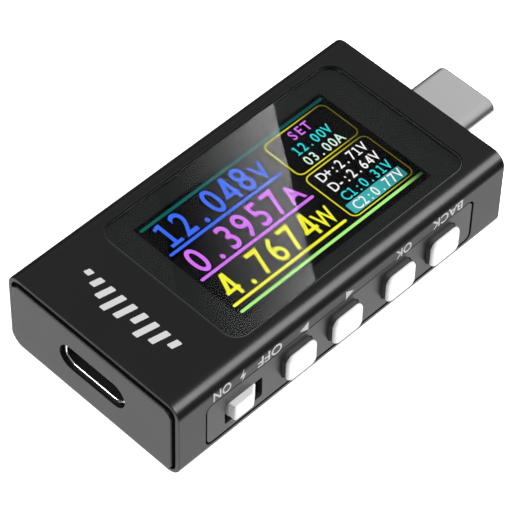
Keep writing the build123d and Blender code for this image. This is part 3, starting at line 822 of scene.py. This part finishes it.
openings = [(SLOT_LOW.copy(), SLOT_HIGH.copy(), SLOT_RADIUS)]
for key in KEYS:
    hole_low, hole_high = key_window(*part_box("key_" + key))
    hole_low, hole_high = grown(hole_low, hole_high, KEY_GAP)
    openings.append((hole_low, hole_high, KEY_RADIUS + KEY_GAP))
for hole_low, hole_high, radius in openings:
    hole_low.y = panel_low.y - REACH
    hole_high.y = panel_high.y + REACH
    cut(panel, bar("hole", hole_low, hole_high, "Y", radius, 6))
    near_low, near_high = grown(hole_low, hole_high, BREAK)
    round_edges(panel, level_test("Y", panel_low.y, near_low, near_high), HOLE_EDGE_RADIUS, 2)
complete(panel, panel_black, ["side_panel"], angle=30)

# %% [markdown]
# ## Keys
# The four keys are alike. Each is a black skirt, whose flange behind the panel stops it falling
# out, and a soft-edged white cap on the skirt. The skirt's black is painted shade: it stands in
# for the shade seen on each key's top and left sides. The skirt is a rounded bar whose back is
# extruded in place, widened and extruded again. One of each is modelled at the first key's place
# and copied with its own mesh to the others, and each copy rides on its own body, so that it can be
# pressed.

# %% Skirt and cap
KEY_FACE_RADIUS = 0.34 * MM
CAP_THICKNESS = 0.4 * MM
FLANGE_DEPTH = 0.45 * MM


def key_skirt(name, low, high):
    """The part of a key from under its cap back to the flange, black as painted shade on its sides.
    """
    front_low, front_high = key_window(low, high)
    front_low.y = low.y + CAP_THICKNESS
    front_high.y = high.y - FLANGE_DEPTH
    piece = bar(name, front_low, front_high, "Y", KEY_RADIUS, 8)
    wider = [
        (high.x - low.x) / (front_high.x - front_low.x),
        1,
        (high.z - low.z) / (front_high.z - front_low.z),
    ]
    centre = (low + high) / 2
    centre.y = front_high.y
    flare(piece, lambda f: f.normal.y > 0.9, wider, centre, (0, FLANGE_DEPTH, 0))
    return piece


def key_cap(name, low, high):
    """The white cap, rounded all round its face."""
    front_low, front_high = key_window(low, high)
    front_high.y = low.y + CAP_THICKNESS
    piece = bar(name, front_low, front_high, "Y", KEY_RADIUS, 8)
    round_edges(piece, level_test("Y", low.y), KEY_FACE_RADIUS, 6)
    return piece


print("key cap", CAP_THICKNESS / MM, "mm thick")

# %% One key, four times
first_low, first_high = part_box("key_" + KEYS[0])
masters = {
    "key_skirt_": key_skirt("key_skirt_" + KEYS[0], first_low, first_high),
    "key_cap_": key_cap("key_cap_" + KEYS[0], first_low, first_high),
}
for key in KEYS[1:]:
    key_low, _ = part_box("key_" + key)
    for prefix, master in masters.items():
        piece = master.copy()
        piece.data = master.data.copy()
        piece.name = prefix + key
        bpy.context.scene.collection.objects.link(piece)
        only(piece)
        bpy.ops.transform.translate(value=key_low - first_low)
        settle()
for key in KEYS:
    body = f"key_{key}_body"
    cap = bpy.data.objects["key_cap_" + key]
    skirt = bpy.data.objects["key_skirt_" + key]
    complete(cap, white_plastic, ["key_" + key], body, 50)
    complete(skirt, key_sides_painted_shade, (), body, 50)

# %% [markdown]
# ## Slide knob
# The slide switch's knob is a small white wedge: upright towards the receptacle and sloped
# towards the plug, so that a nail can push it back. The outer end of a block is slid in to make
# the slope, and its outer edges are rounded.

# %% Knob
knob_low, knob_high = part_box("slide_knob")
KNOB_SLOPE = 1.05 * MM
KNOB_RADIUS = 0.24 * MM
SLOPE_SIDE = 0.5 * MM
NEAR = 0.01 * MM
slope_start = panel_low.y

knob = block("slide_knob_cap", knob_low, Vector((knob_high.x, slope_start, knob_high.z)))
pick(knob, "faces", lambda f: f.normal.y > 0.9)
bpy.ops.mesh.extrude_region_move(
    TRANSFORM_OT_translate={"value": (0, knob_high.y - slope_start, 0)}
)
done()
pick(knob, "verts", lambda v: v.co.y < knob_low.y + NEAR and v.co.x > knob_high.x - NEAR)
bpy.ops.transform.translate(value=(-KNOB_SLOPE, 0, 0))
done()


def knob_edge(edge):
    """The outer face's edges and the edges that run back from it."""
    outer = any(vertex.co.y < knob_low.y + NEAR for vertex in edge.verts)
    return outer and min(vertex.co.x for vertex in edge.verts) < knob_high.x - SLOPE_SIDE


round_edges(knob, knob_edge, KNOB_RADIUS, 5)
complete(knob, white_plastic, ["slide_knob"], "slide_switch_knob", 50)

# %% [markdown]
# ## USB-C plug and receptacle shells
# Both are drawn from stainless tube of the standard section. The plug's outer edge is rounded
# where it guides itself into a socket, and the wall is cut by a second, smaller stadium. The
# receptacle's inner rim has a wider bevel that draws the bright line at the mouth, its bore is
# painted dark grey as painted shade deep in the mouth, and four feet stand on the board.

# %% Shells
PLUG_WALL = 0.4 * MM
SHELL_WALL = 0.3 * MM
TIP_RADIUS = 0.32 * MM
PLUG_LIP = 0.06 * MM
RIM_LIP = 0.14 * MM
FOOT_X = (-21.2, -18.0)
FOOT_LENGTH = 1.1
FOOT_RADIUS = 0.1 * MM
FOOT_BITE = 0.2 * MM
satin_steel = finish(
    "satin_nickel_shell", grey(0.96), grey(0.98), (0.30, 0.38), 9000, 0.08, Metallic=1.0
)
bright_steel = finish(
    "bright_steel_rim", grey(0.86), grey(0.95), (0.12, 0.2), 9000, 0.05, Metallic=1.0
)


def tube_along_x(name, low, high, wall, open_end, lip):
    """A stadium tube with its outer and inner edges rounded at the open end."""
    piece = stadium(name, low, high)
    if name == "plug_shell_drawn":
        round_edges(piece, level_test("X", open_end), TIP_RADIUS, 6)
    bore_low = Vector((low.x - REACH, low.y + wall, low.z + wall))
    bore_high = Vector((high.x + REACH, high.y - wall, high.z - wall))
    cut(piece, stadium("bore", bore_low, bore_high))
    near_low, near_high = grown(bore_low, bore_high, NEAR)
    round_edges(piece, level_test("X", open_end, near_low, near_high), lip, 4)
    return piece


plug_shell = tube_along_x("plug_shell_drawn", plug_low, plug_high, PLUG_WALL, plug_high.x, PLUG_LIP)
complete(plug_shell, satin_steel, ["plug_shell"])
flagged.objects.link(plug_shell)
flagged.collection_objects[0].light_linking.link_state = "EXCLUDE"
rim_low = Vector((shell_low.x, SHELL_Y - SHELL_HALF, SHELL_RISE[0]))
rim_high = Vector((shell_high.x, SHELL_Y + SHELL_HALF, SHELL_RISE[1]))
socket_shell = tube_along_x(
    "receptacle_shell_drawn", rim_low, rim_high, SHELL_WALL, rim_low.x, RIM_LIP
)
_, board_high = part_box("main_board")
for foot_x in FOOT_X:
    for side in (-1, 1):
        inner = SHELL_Y + side * (SHELL_HALF - FOOT_BITE)
        outer = shell_high.y if side > 0 else shell_low.y
        foot_low = Vector(((foot_x - FOOT_LENGTH / 2) * MM, min(inner, outer), board_high.z))
        foot_end = (foot_x + FOOT_LENGTH / 2) * MM
        foot_high = Vector((foot_end, max(inner, outer), board_high.z + SHELL_WALL))
        combine(socket_shell, bar("foot", foot_low, foot_high, "Z", FOOT_RADIUS, 2), "UNION")
complete(socket_shell, bright_steel, ["receptacle_shell"])
# the bore's dark grey is painted shade: it stands in for the shade inside the receptacle's mouth
bore_painted_shade = finish("steel_bore_painted_shade", grey(0.10), grey(0.16), (0.4, 0.5), 9000, 0.1, Metallic=1.0)
socket_shell.data.materials.append(bore_painted_shade)
rim_middle = (rim_low + rim_high) / 2
bore_half = (rim_high - rim_low) / 2 - 0.95 * Vector((SHELL_WALL, SHELL_WALL, SHELL_WALL))
for polygon in socket_shell.data.polygons:
    away = polygon.center - rim_middle
    deep = polygon.center.x > rim_low.x + RIM_LIP + 2 * NEAR
    inside = abs(away.y) < bore_half.y and abs(away.z) < bore_half.z
    polygon.material_index = 1 if deep and inside else 0

# %% [markdown]
# ## Window and display
# The window is one sheet of coated glass, black on its underside outside the picture. Under it
# lies the display: a dark glass panel whose lit figures are drawn as very thin solids just above
# its face. The border print is a thin frame between the glass and the display, so its opening
# sets what is seen. The glass is clear, with plain transmission, and its coating keeps its own
# reflection weak, so the lit card draws a streak and the picture stays black beside it. Its edge
# is ground matt, and its underside is bonded, so that it mirrors nothing a second time. The print
# has a very faint even light of its own, in place of what would reach it through the glass.

# %% Glass and border
PRINT_THICKNESS = 0.008 * MM
GLASS_CHAMFER = 0.08 * MM
VIEW_LOW = (-10.63, -8.34)
VIEW_HIGH = (16.6, 7.84)

GLASS_MATERIAL, EDGE_MATERIAL, UNDERSIDE_MATERIAL = range(3)


def clear_glass(name, tint, ior, smear):
    """A clear glass with a tint, a strength of reflection and a faint smear."""
    material, tree, shader = new_material(name, Base_Color=tint, Transmission_Weight=1.0, IOR=ior)
    film = {"Scale": 60, "Low": 0.0, "High": smear}
    handled = node(tree, "ShaderNodeGroup", node_tree=smudge, inputs=film)
    wire(tree, (handled, "Roughness", shader, "Roughness"))
    return material


glass = clear_glass("coated_window_glass", (1, 1, 1, 1), 1.15, 0.006)
underside = clear_glass("bonded_glass_underside", (0.8, 0.8, 0.8, 1), 1.0, 0.002)
UNDER_GLASS = {"Specular_IOR_Level": 0.04}
ground_edge = finish(
    "ground_glass_edge", grey(0.045), grey(0.06), (0.5, 0.6), 9000, 0.2, **UNDER_GLASS
)

window_low = glass_low + Vector((0, 0, 2 * PRINT_THICKNESS))
window = bar("window_glass_sheet", window_low, glass_high, "Z", WINDOW_RADIUS, 14)
round_edges(window, level_test("Z", glass_high.z), GLASS_CHAMFER, 1)
complete(window, glass, ["display_window"], angle=30)
mirrors.objects.link(window)
window.data.materials.append(ground_edge)
window.data.materials.append(underside)
for polygon in window.data.polygons:
    if polygon.normal.z < -0.5:
        polygon.material_index = UNDERSIDE_MATERIAL
    elif 0.3 < polygon.normal.z < 0.95:
        polygon.material_index = EDGE_MATERIAL
    else:
        polygon.material_index = GLASS_MATERIAL

PRINT_INK = (0.0020, 0.0022, 0.0021)
# the print's faint even emission is painted light, standing in for light that would reach it
# through the glass
PRINT_PAINTED_GLOW = {"Emission_Color": (0.0150, 0.0162, 0.0158, 1), "Emission_Strength": 1.0, **UNDER_GLASS}
border_black = finish("black_glass_print", PRINT_INK, grey(0.003), (0.5, 0.6), 6000, 0.05, **PRINT_PAINTED_GLOW)
print_low = glass_low + Vector((GLASS_CHAMFER, GLASS_CHAMFER, 0.5 * PRINT_THICKNESS))
print_high = Vector((glass_high.x, glass_high.y, print_low.z + PRINT_THICKNESS))
print_high -= Vector((GLASS_CHAMFER, GLASS_CHAMFER, 0))
border = bar("window_border_print", print_low, print_high, "Z", WINDOW_RADIUS - GLASS_CHAMFER, 12)
hole_low = Vector((VIEW_LOW[0] * MM, VIEW_LOW[1] * MM, print_low.z - REACH))
hole_high = Vector((VIEW_HIGH[0] * MM, VIEW_HIGH[1] * MM, print_low.z + REACH))
cut(border, block("view", hole_low, hole_high))
complete(border, border_black)

# %% Display face
face_low, face_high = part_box("display_panel")
FACE_RADIUS = 0.3 * MM
FACE_RIM = 0.15 * MM
LCD_INK = (0.0016, 0.0015, 0.0022)
lcd_black = finish(
    "display_dark_glass", LCD_INK, grey(0.004), (0.3, 0.4), 9000, 0.02, **UNDER_GLASS
)
face = bar("display_panel_laminate", face_low, face_high, "Z", FACE_RADIUS, 4)
round_edges(face, level_test("Z", face_high.z), FACE_RIM, 2)
complete(face, lcd_black, ["display_panel"])

# %% [markdown]
# ## The screen's figures
# The picture shows three large readings with a coloured rule under each, two rounded boxes of
# small readings, and a bar along the top and bottom. Each colour gets an emission finish through
# the pixel grid. Figures are set one by one on an even pitch, as such a screen does: a text
# object is given its size, made a mesh, and then moved to its place and joined to its line. The
# readings are ordinary numbers with their units.


# %% Screen colours
OFF_SCREEN = (90.0, 91.0)


def screen_light(name, colour, strength, fade=OFF_SCREEN, dimmest=0.0):
    """A glowing finish seen through the pixel grid; fade is where it dims along the screen."""
    black = {"Base_Color": (0, 0, 0, 1), "Roughness": 0.4, "Specular_IOR_Level": 0.0}
    material, tree, shader = new_material(name, Emission_Strength=1.0, **black)
    light = {
        "Color": (*(channel * strength for channel in colour), 1),
        "Fade From": fade[0] * MM,
        "Fade To": fade[1] * MM,
        "Dimmest": dimmest,
    }
    lit = node(tree, "ShaderNodeGroup", node_tree=pixels, inputs=light)
    wire(tree, (lit, "Color", shader, "Emission Color"))
    return material


blue = screen_light("screen_blue", (0.045, 0.16, 1.0), 1.15)
violet = screen_light("screen_violet", (0.72, 0.18, 1.0), 1.15)
yellow = screen_light("screen_yellow", (0.95, 0.93, 0.03), 1.15)
cyan = screen_light("screen_cyan", (0.02, 0.78, 0.80), 1.1)
pale = screen_light("screen_pale_green", (0.72, 0.95, 0.80), 1.1)
white = screen_light("screen_white", (0.95, 0.95, 0.95), 1.15)
line_yellow = screen_light("screen_line_yellow", (0.85, 0.80, 0.02), 1.1, (9.0, 16.5), 0.12)
bar_green = screen_light("screen_bar_green", (0.42, 0.95, 0.22), 1.15, (12.5, 16.6), 0.03)
bar_teal = screen_light("screen_bar_teal", (0.004, 0.13, 0.12), 1.1, (4.0, 16.0), 0.55)
fill_teal = screen_light("screen_fill_teal", (0.05, 0.46, 0.46), 1.1, (11.0, 16.0), 0.5)
print("screen colours ready")

# %% Figures
FIGURE_LEVEL = face_high.z + 0.004 * MM
FIGURE_THICKNESS = 0.006 * MM
LETTER_WELD = 0.0005 * MM
# the share of a font's size that its capitals are tall, and the letters drawn from strokes
CAP_SHARE = 0.686
STROKED = "14"


def solid_text(name, letters, height, weight, thickness):
    """Text of a given capital height lying flat, as a thin solid mesh at the origin."""
    only()
    bpy.ops.object.text_add()
    text = bpy.context.active_object
    text.name = name
    text.data.body = letters
    text.data.size = height / CAP_SHARE
    text.data.offset = weight
    text.data.extrude = thickness / 2
    text.data.resolution_u = 5
    text.data.align_x = "CENTER"
    bpy.ops.object.convert(target="MESH")
    piece = bpy.context.active_object
    pick_all(piece)
    bpy.ops.mesh.remove_doubles(threshold=LETTER_WELD)
    done()
    return piece


def slanted(name, low, high, slide):
    """A thin block whose upper edge is slid sideways or whose left end is lowered."""
    piece = block(name, low, high)
    middle = (Vector(low) + Vector(high)) / 2
    if slide[0]:
        pick(piece, "verts", lambda vertex: vertex.co.y > middle.y)
    else:
        pick(piece, "verts", lambda vertex: vertex.co.x < middle.x)
    bpy.ops.transform.translate(value=(*slide, 0))
    done()
    return piece


def stroked(name, letter, tall, thickness):
    """A one with a foot or an open four, made of strokes, centred on the origin."""
    wide = 0.125 * tall
    half = thickness / 2
    if letter == "1":
        parts = (
            ((-wide / 2, 0), (wide / 2, tall), (0, 0)),
            ((-0.24 * tall, 0), (0.24 * tall, wide), (0, 0)),
            ((-0.21 * tall, tall - wide), (0, tall), (0, -0.06 * tall)),
        )
    else:
        stem, rise = 0.08 * tall, 0.22 * tall
        slope = 1.2 * wide
        parts = (
            ((stem, 0), (stem + wide, tall), (0, 0)),
            ((-0.27 * tall, rise), (0.27 * tall, rise + wide), (0, 0)),
            (
                (-0.27 * tall, rise),
                (-0.27 * tall + slope, tall),
                (stem + wide + 0.27 * tall - slope, 0),
            ),
        )
    made = [slanted(name, (*low, -half), (*high, half), slide) for low, high, slide in parts]
    return join(made, name)


def lit_piece(piece, material):
    """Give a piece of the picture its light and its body."""
    piece.data.materials.clear()
    piece.data.materials.append(material)
    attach(piece, BODY)
    print(f"{piece.name}: {len(piece.data.polygons)} faces")
    return piece


def figures(name, letters, start, pitch, base, height, weight, material, narrow):
    """Characters on an even pitch; start, pitch, base and height are in millimetres."""
    row = []
    for count, letter in enumerate(letters):
        if letter in STROKED:
            piece = stroked(name, letter, height * MM, FIGURE_THICKNESS)
            pick_all(piece)
        else:
            piece = solid_text(name, letter, height * MM, weight * MM, FIGURE_THICKNESS)
            pick_all(piece)
            bpy.ops.transform.resize(value=(narrow, 1, 1), center_override=(0, 0, 0))
        middle = (start + (count + 0.5) * pitch) * MM
        move = (middle, base * MM, FIGURE_LEVEL + FIGURE_THICKNESS / 2)
        bpy.ops.transform.translate(value=move)
        done()
        row.append(piece)
    return lit_piece(join(row, name), material)


def strip(name, low, high, radius, material, sunk=0):
    """A thin rounded bar of light; low and high are in millimetres, sunk in thicknesses."""
    level = FIGURE_LEVEL - sunk * FIGURE_THICKNESS
    low = Vector((low[0] * MM, low[1] * MM, level))
    high = Vector((high[0] * MM, high[1] * MM, level + FIGURE_THICKNESS))
    return lit_piece(bar(name, low, high, "Z", radius * MM, 5), material)


# name, number, unit, baseline, rule height and end, colour, where the digits start and end, and
# how narrow the unit is
READINGS = (
    ("volts", "12.048", "V", 3.31, 2.78, 5.72, blue, -9.55, 3.3, 0.8),
    ("amps", "0.3957", "A", -1.22, -1.73, 5.9, violet, -9.75, 3.45, 0.8),
    ("watts", "4.7674", "W", -5.75, -6.33, 6.0, yellow, -9.85, 3.6, 0.62),
)
BIG_HEIGHT = 3.35
UNIT_HEIGHT = 2.35
BIG_WEIGHT = 0.05
BIG_NARROW = 0.74
UNIT_GAP = 0.1
UNIT_WIDTH = 1.9
RULE = 0.36
LEFT_END = -10.28
RIGHT_END = 16.3
for name, number, unit, base, rule, rule_end, colour, start, end, squeeze in READINGS:
    pitch = (end - start) / len(number)
    after = end + UNIT_GAP
    figures(
        f"reading_{name}", number, start, pitch, base, BIG_HEIGHT, BIG_WEIGHT, colour, BIG_NARROW
    )
    figures(f"unit_{name}", unit, after, UNIT_WIDTH, base, UNIT_HEIGHT, BIG_WEIGHT, colour, squeeze)
    ends = (LEFT_END, rule - RULE / 2), (rule_end, rule + RULE / 2)
    strip(f"rule_{name}", *ends, RULE * 0.49, colour)
strip("top_bar", (LEFT_END, 6.97), (RIGHT_END, 7.34), 0.18, bar_teal)
strip("bottom_bar", (LEFT_END, -7.55), (RIGHT_END, -7.19), 0.17, bar_green)

# %% Small readings and their boxes
BOX_LINE = 0.15
SMALL_HEIGHT = 1.24
SMALL_WEIGHT = 0.016


def outlined_box(name, low, high, radius):
    """A rounded outline: a thin bar with a smaller one cut out of it."""
    box_piece = strip(name, low, high, radius, line_yellow)
    inner_low = Vector(((low[0] + BOX_LINE) * MM, (low[1] + BOX_LINE) * MM, 0))
    inner_high = Vector(((high[0] - BOX_LINE) * MM, (high[1] - BOX_LINE) * MM, 2 * face_high.z))
    cut(box_piece, bar("inner", inner_low, inner_high, "Z", (radius - BOX_LINE) * MM, 5))
    return box_piece


BOX_RADIUS = 0.85
outlined_box("setting_box", (6.74, 0.93), (15.86, 6.73), BOX_RADIUS)
outlined_box("signal_box", (6.70, -6.86), (15.86, 0.62), BOX_RADIUS)
figures("setting_name", "SET", 9.75, 1.02, 4.95, SMALL_HEIGHT, SMALL_WEIGHT, violet, 0.82)
figures("setting_volts", "12.00V", 8.6, 0.9, 3.14, SMALL_HEIGHT, SMALL_WEIGHT, cyan, 0.82)
figures("setting_amps", "03.00A", 8.5, 0.92, 1.4, SMALL_HEIGHT, SMALL_WEIGHT, pale, 0.82)
figures("signal_plus", "D+:2.71V", 7.9, 0.87, -1.18, SMALL_HEIGHT, SMALL_WEIGHT, white, 0.8)
figures("signal_minus", "D-:2.64V", 7.9, 0.87, -2.95, SMALL_HEIGHT, SMALL_WEIGHT, white, 0.8)
figures("channel_one", "C1:0.31V", 7.9, 0.87, -4.68, SMALL_HEIGHT, SMALL_WEIGHT, cyan, 0.8)
strip("channel_fill", (7.25, -6.48), (15.1, -4.92), 0.18, fill_teal, 1)
figures("channel_two", "C2:0.77V", 7.9, 0.87, -6.33, SMALL_HEIGHT, SMALL_WEIGHT, white, 0.8)

# %% [markdown]
# ## Printed legends
# Short generic legends are printed on the wall above the keys, reading the other way up because
# the meter is held with its keys uppermost. Each is a thin solid that is turned onto the wall,
# sliced across where the wall begins to curve, and then bent back with the rounded edge, so the
# print follows the metal all the way up.

# %% Legends on the wall
PRINT_PROUD = 0.012 * MM
PRINT_BITE = 0.03 * MM
PRINT_DEPTH = PRINT_PROUD + PRINT_BITE
LETTER_WEIGHT = 0.025 * MM
BEND_LEVELS = (0.0, 0.15, 0.3, 0.45)
pale_print = finish("pale_wall_print", grey(0.25), grey(0.29), (0.4, 0.5), 12000, 0.1)
flat_top = case_high.z - EDGE_RADIUS


def onto_wall(piece, low, high):
    """Turn a flat piece onto the wall, fit it between two corners and bend it with the edge."""
    points = [vertex.co for vertex in piece.data.vertices]
    left, right = min(p.x for p in points), max(p.x for p in points)
    bottom, top = min(p.y for p in points), max(p.y for p in points)
    wide = (high[0] - low[0]) * MM / (right - left)
    tall = (high[1] - low[1]) * MM / (top - bottom)
    middle = Vector(((left + right) / 2, (bottom + top) / 2, 0))
    pick_all(piece)
    bpy.ops.transform.translate(value=-middle)
    bpy.ops.transform.resize(value=(wide, tall, 1), center_override=(0, 0, 0))
    done()
    for turn in ((math.radians(90), 0, 0), (0, math.pi, 0)):
        piece.rotation_euler = turn
        settle()
    middle_z = case_high.z / 2 + (low[1] + high[1]) / 2 * MM
    piece.location = ((low[0] + high[0]) / 2 * MM, case_low.y, middle_z)
    settle()
    for rise in BEND_LEVELS:
        pick_all(piece)
        bpy.ops.mesh.bisect(plane_co=(0, 0, flat_top + rise * MM), plane_no=(0, 0, 1))
        done()
    for vertex in piece.data.vertices:
        above = max(0.0, vertex.co.z - flat_top)
        vertex.co.y += EDGE_RADIUS - math.sqrt(EDGE_RADIUS**2 - above**2)
    return complete(piece, pale_print)


def legend(name, letters, low, high):
    """A word fitted between two corners: x along the case, height above its middle."""
    height = (high[1] - low[1]) * MM
    return onto_wall(solid_text(name, letters, height, LETTER_WEIGHT, PRINT_DEPTH), low, high)


def outline_sign(name, corners, low, high):
    """A flat sign from its corner points in a unit square, fitted like a word."""
    piece = block(name, (0, 0, -PRINT_DEPTH / 2), (1, 1, PRINT_DEPTH / 2))
    mesh = bmesh.new()
    mesh.faces.new([mesh.verts.new((x, y, -PRINT_DEPTH / 2)) for x, y in corners])
    mesh.to_mesh(piece.data)
    mesh.free()
    pick_all(piece)
    bpy.ops.mesh.extrude_region_move(TRANSFORM_OT_translate={"value": (0, 0, PRINT_DEPTH)})
    bpy.ops.mesh.select_all(action="SELECT")
    bpy.ops.mesh.normals_make_consistent(inside=False)
    done()
    return onto_wall(piece, low, high)


legend("legend_on", "ON", (-18.97, 2.8), (-16.52, 4.15))
legend("legend_off", "OFF", (-12.8, 2.7), (-9.42, 4.1))
legend("legend_ok", "OK", (7.1, 2.6), (9.44, 3.9))
legend("legend_back", "BACK", (12.58, 2.7), (17.2, 4.03))
BOLT = ((0.62, 1.0), (0.0, 0.42), (0.46, 0.42), (0.3, 0.0), (1.0, 0.62), (0.54, 0.62))
ARROW_BACK = ((1.0, 0.5), (0.0, 1.0), (0.0, 0.0))
ARROW_ON = ((0.0, 0.5), (1.0, 0.0), (1.0, 1.0))
outline_sign("sign_power", BOLT, (-15.34, 2.6), (-14.42, 4.3))
outline_sign("sign_left", ARROW_BACK, (-6.92, 2.6), (-5.66, 3.87))
outline_sign("sign_right", ARROW_ON, (-0.23, 2.6), (0.89, 3.87))

# %% [markdown]
# ## Finishes inside the case
# The parts inside keep the shapes they have in the frame, and each gets a finish of its own, so
# that the model also holds up when it is opened. Moulded insulators, chips, ferrite, gold and
# drawn steel are all the same kind of finish with different numbers. Foam, amber film and the
# board need a pattern as well, so each of those adds its own to the colour.

# %% Plain inner finishes
insulator = finish("black_insulator", grey(0.018), grey(0.05), (0.45, 0.6), 8000, 0.3)
epoxy = finish("chip_epoxy", grey(0.028), grey(0.07), (0.55, 0.7), 22000, 0.6, 0.006)
ferrite = finish("sintered_ferrite", grey(0.075), grey(0.14), (0.6, 0.75), 15000, 0.7, 0.01)
ceramic = finish("tan_ceramic", (0.36, 0.25, 0.15), (0.5, 0.4, 0.3), (0.35, 0.5), 12000, 0.3)
resistor_black = finish("resistor_glaze", grey(0.02), grey(0.3), (0.25, 0.4), 12000, 0.2)
light_guide = finish("white_light_guide", grey(0.78), grey(0.84), (0.3, 0.4), 9000, 0.15)
beige = finish(
    "beige_connector_body", (0.50, 0.43, 0.33), (0.6, 0.54, 0.44), (0.45, 0.6), 9000, 0.3
)
tape = finish("black_adhesive_tape", grey(0.010), grey(0.02), (0.7, 0.85), 5000, 0.4)
gold = finish(
    "gold_plating", (0.86, 0.62, 0.27), (0.9, 0.72, 0.42), (0.2, 0.3), 9000, 0.05, Metallic=1.0
)
brushed = finish("brushed_steel", grey(0.6), grey(0.72), (0.28, 0.4), 9000, 0.1, Metallic=1.0)
print("inner finishes:", len(bpy.data.materials))


# %% Patterned inner finishes
def patterned(name, kind, scale, low, high, share, **settings):
    """A finish that moves between two colours with a texture, which also gives its relief."""
    material = finish(name, low, high, (0.5, 0.7), 8000, 0.3)
    tree = material.node_tree
    shader = tree.nodes["Principled BSDF"]
    place = node(tree, "ShaderNodeTexCoord")
    pattern = node(tree, kind, inputs={"Scale": scale}, **settings)
    step = node(tree, "ShaderNodeMapRange", inputs={"From Min": share[0], "From Max": share[1]})
    colours = {"A": (*low, 1), "B": (*high, 1)}
    tint = node(tree, "ShaderNodeMix", data_type="RGBA", inputs=colours)
    relief = node(tree, "ShaderNodeBump", inputs={"Strength": 0.5, "Distance": 0.02 * MM})
    wire(
        tree,
        (place, "Object", pattern, "Vector"),
        (pattern, 0, step, "Value"),
        (step, "Result", tint, "Factor"),
        (step, "Result", relief, "Height"),
        (tint, "Result", shader, "Base Color"),
        (relief, "Normal", shader, "Normal"),
    )
    return material


foam = patterned("open_cell_foam", "ShaderNodeTexVoronoi", 3500, grey(0.03), grey(0.16), (0.1, 0.6))
film = patterned(
    "amber_film", "ShaderNodeTexWave", 700, (0.16, 0.06, 0.01), (0.50, 0.24, 0.05), (0.2, 0.35)
)
mask = patterned(
    "green_solder_mask",
    "ShaderNodeTexVoronoi",
    420,
    (0.05, 0.16, 0.09),
    (0.008, 0.045, 0.025),
    (0.06, 0.16),
    distance="MANHATTAN",
    feature="DISTANCE_TO_EDGE",
)
print("patterned finishes:", foam.name, film.name, mask.name)

# %% Giving them to the frame's nodes
GIVEN = (
    (tape, ["window_adhesive"]),
    (light_guide, ["display_backlight"]),
    (film, ["display_flex"]),
    (beige, ["display_connector"]),
    (foam, ["display_foam_pad"]),
    (mask, ["main_board"]),
    (ferrite, ["power_inductor"]),
    (ceramic, ["chip_capacitors"]),
    (resistor_black, ["shunt_resistor", "chip_resistors"]),
    (gold, ["receptacle_contacts", "plug_contacts"]),
    (epoxy, ["controller_chip", "meter_chip", "protocol_chip", "flash_chip", "power_mosfets"]),
    (insulator, ["slide_actuator", "slide_switch_body", "receptacle_housing", "plug_housing"]),
    (insulator, [part + key for part in ("tact_body_", "tact_stem_") for key in KEYS]),
    (brushed, ["tact_domes", "slide_switch_cover", "crystal"]),
    (brushed, ["tact_cover_" + key for key in KEYS]),
)
INNER = {name: material for material, names in GIVEN for name in names}
for name, material in INNER.items():
    for material_slot in nodes[name].material_slots:
        material_slot.material = material
bare = [name for name, piece in nodes.items() if name not in INNER and not piece.hide_render]
print("inner parts finished:", len(INNER), "- left bare:", bare)
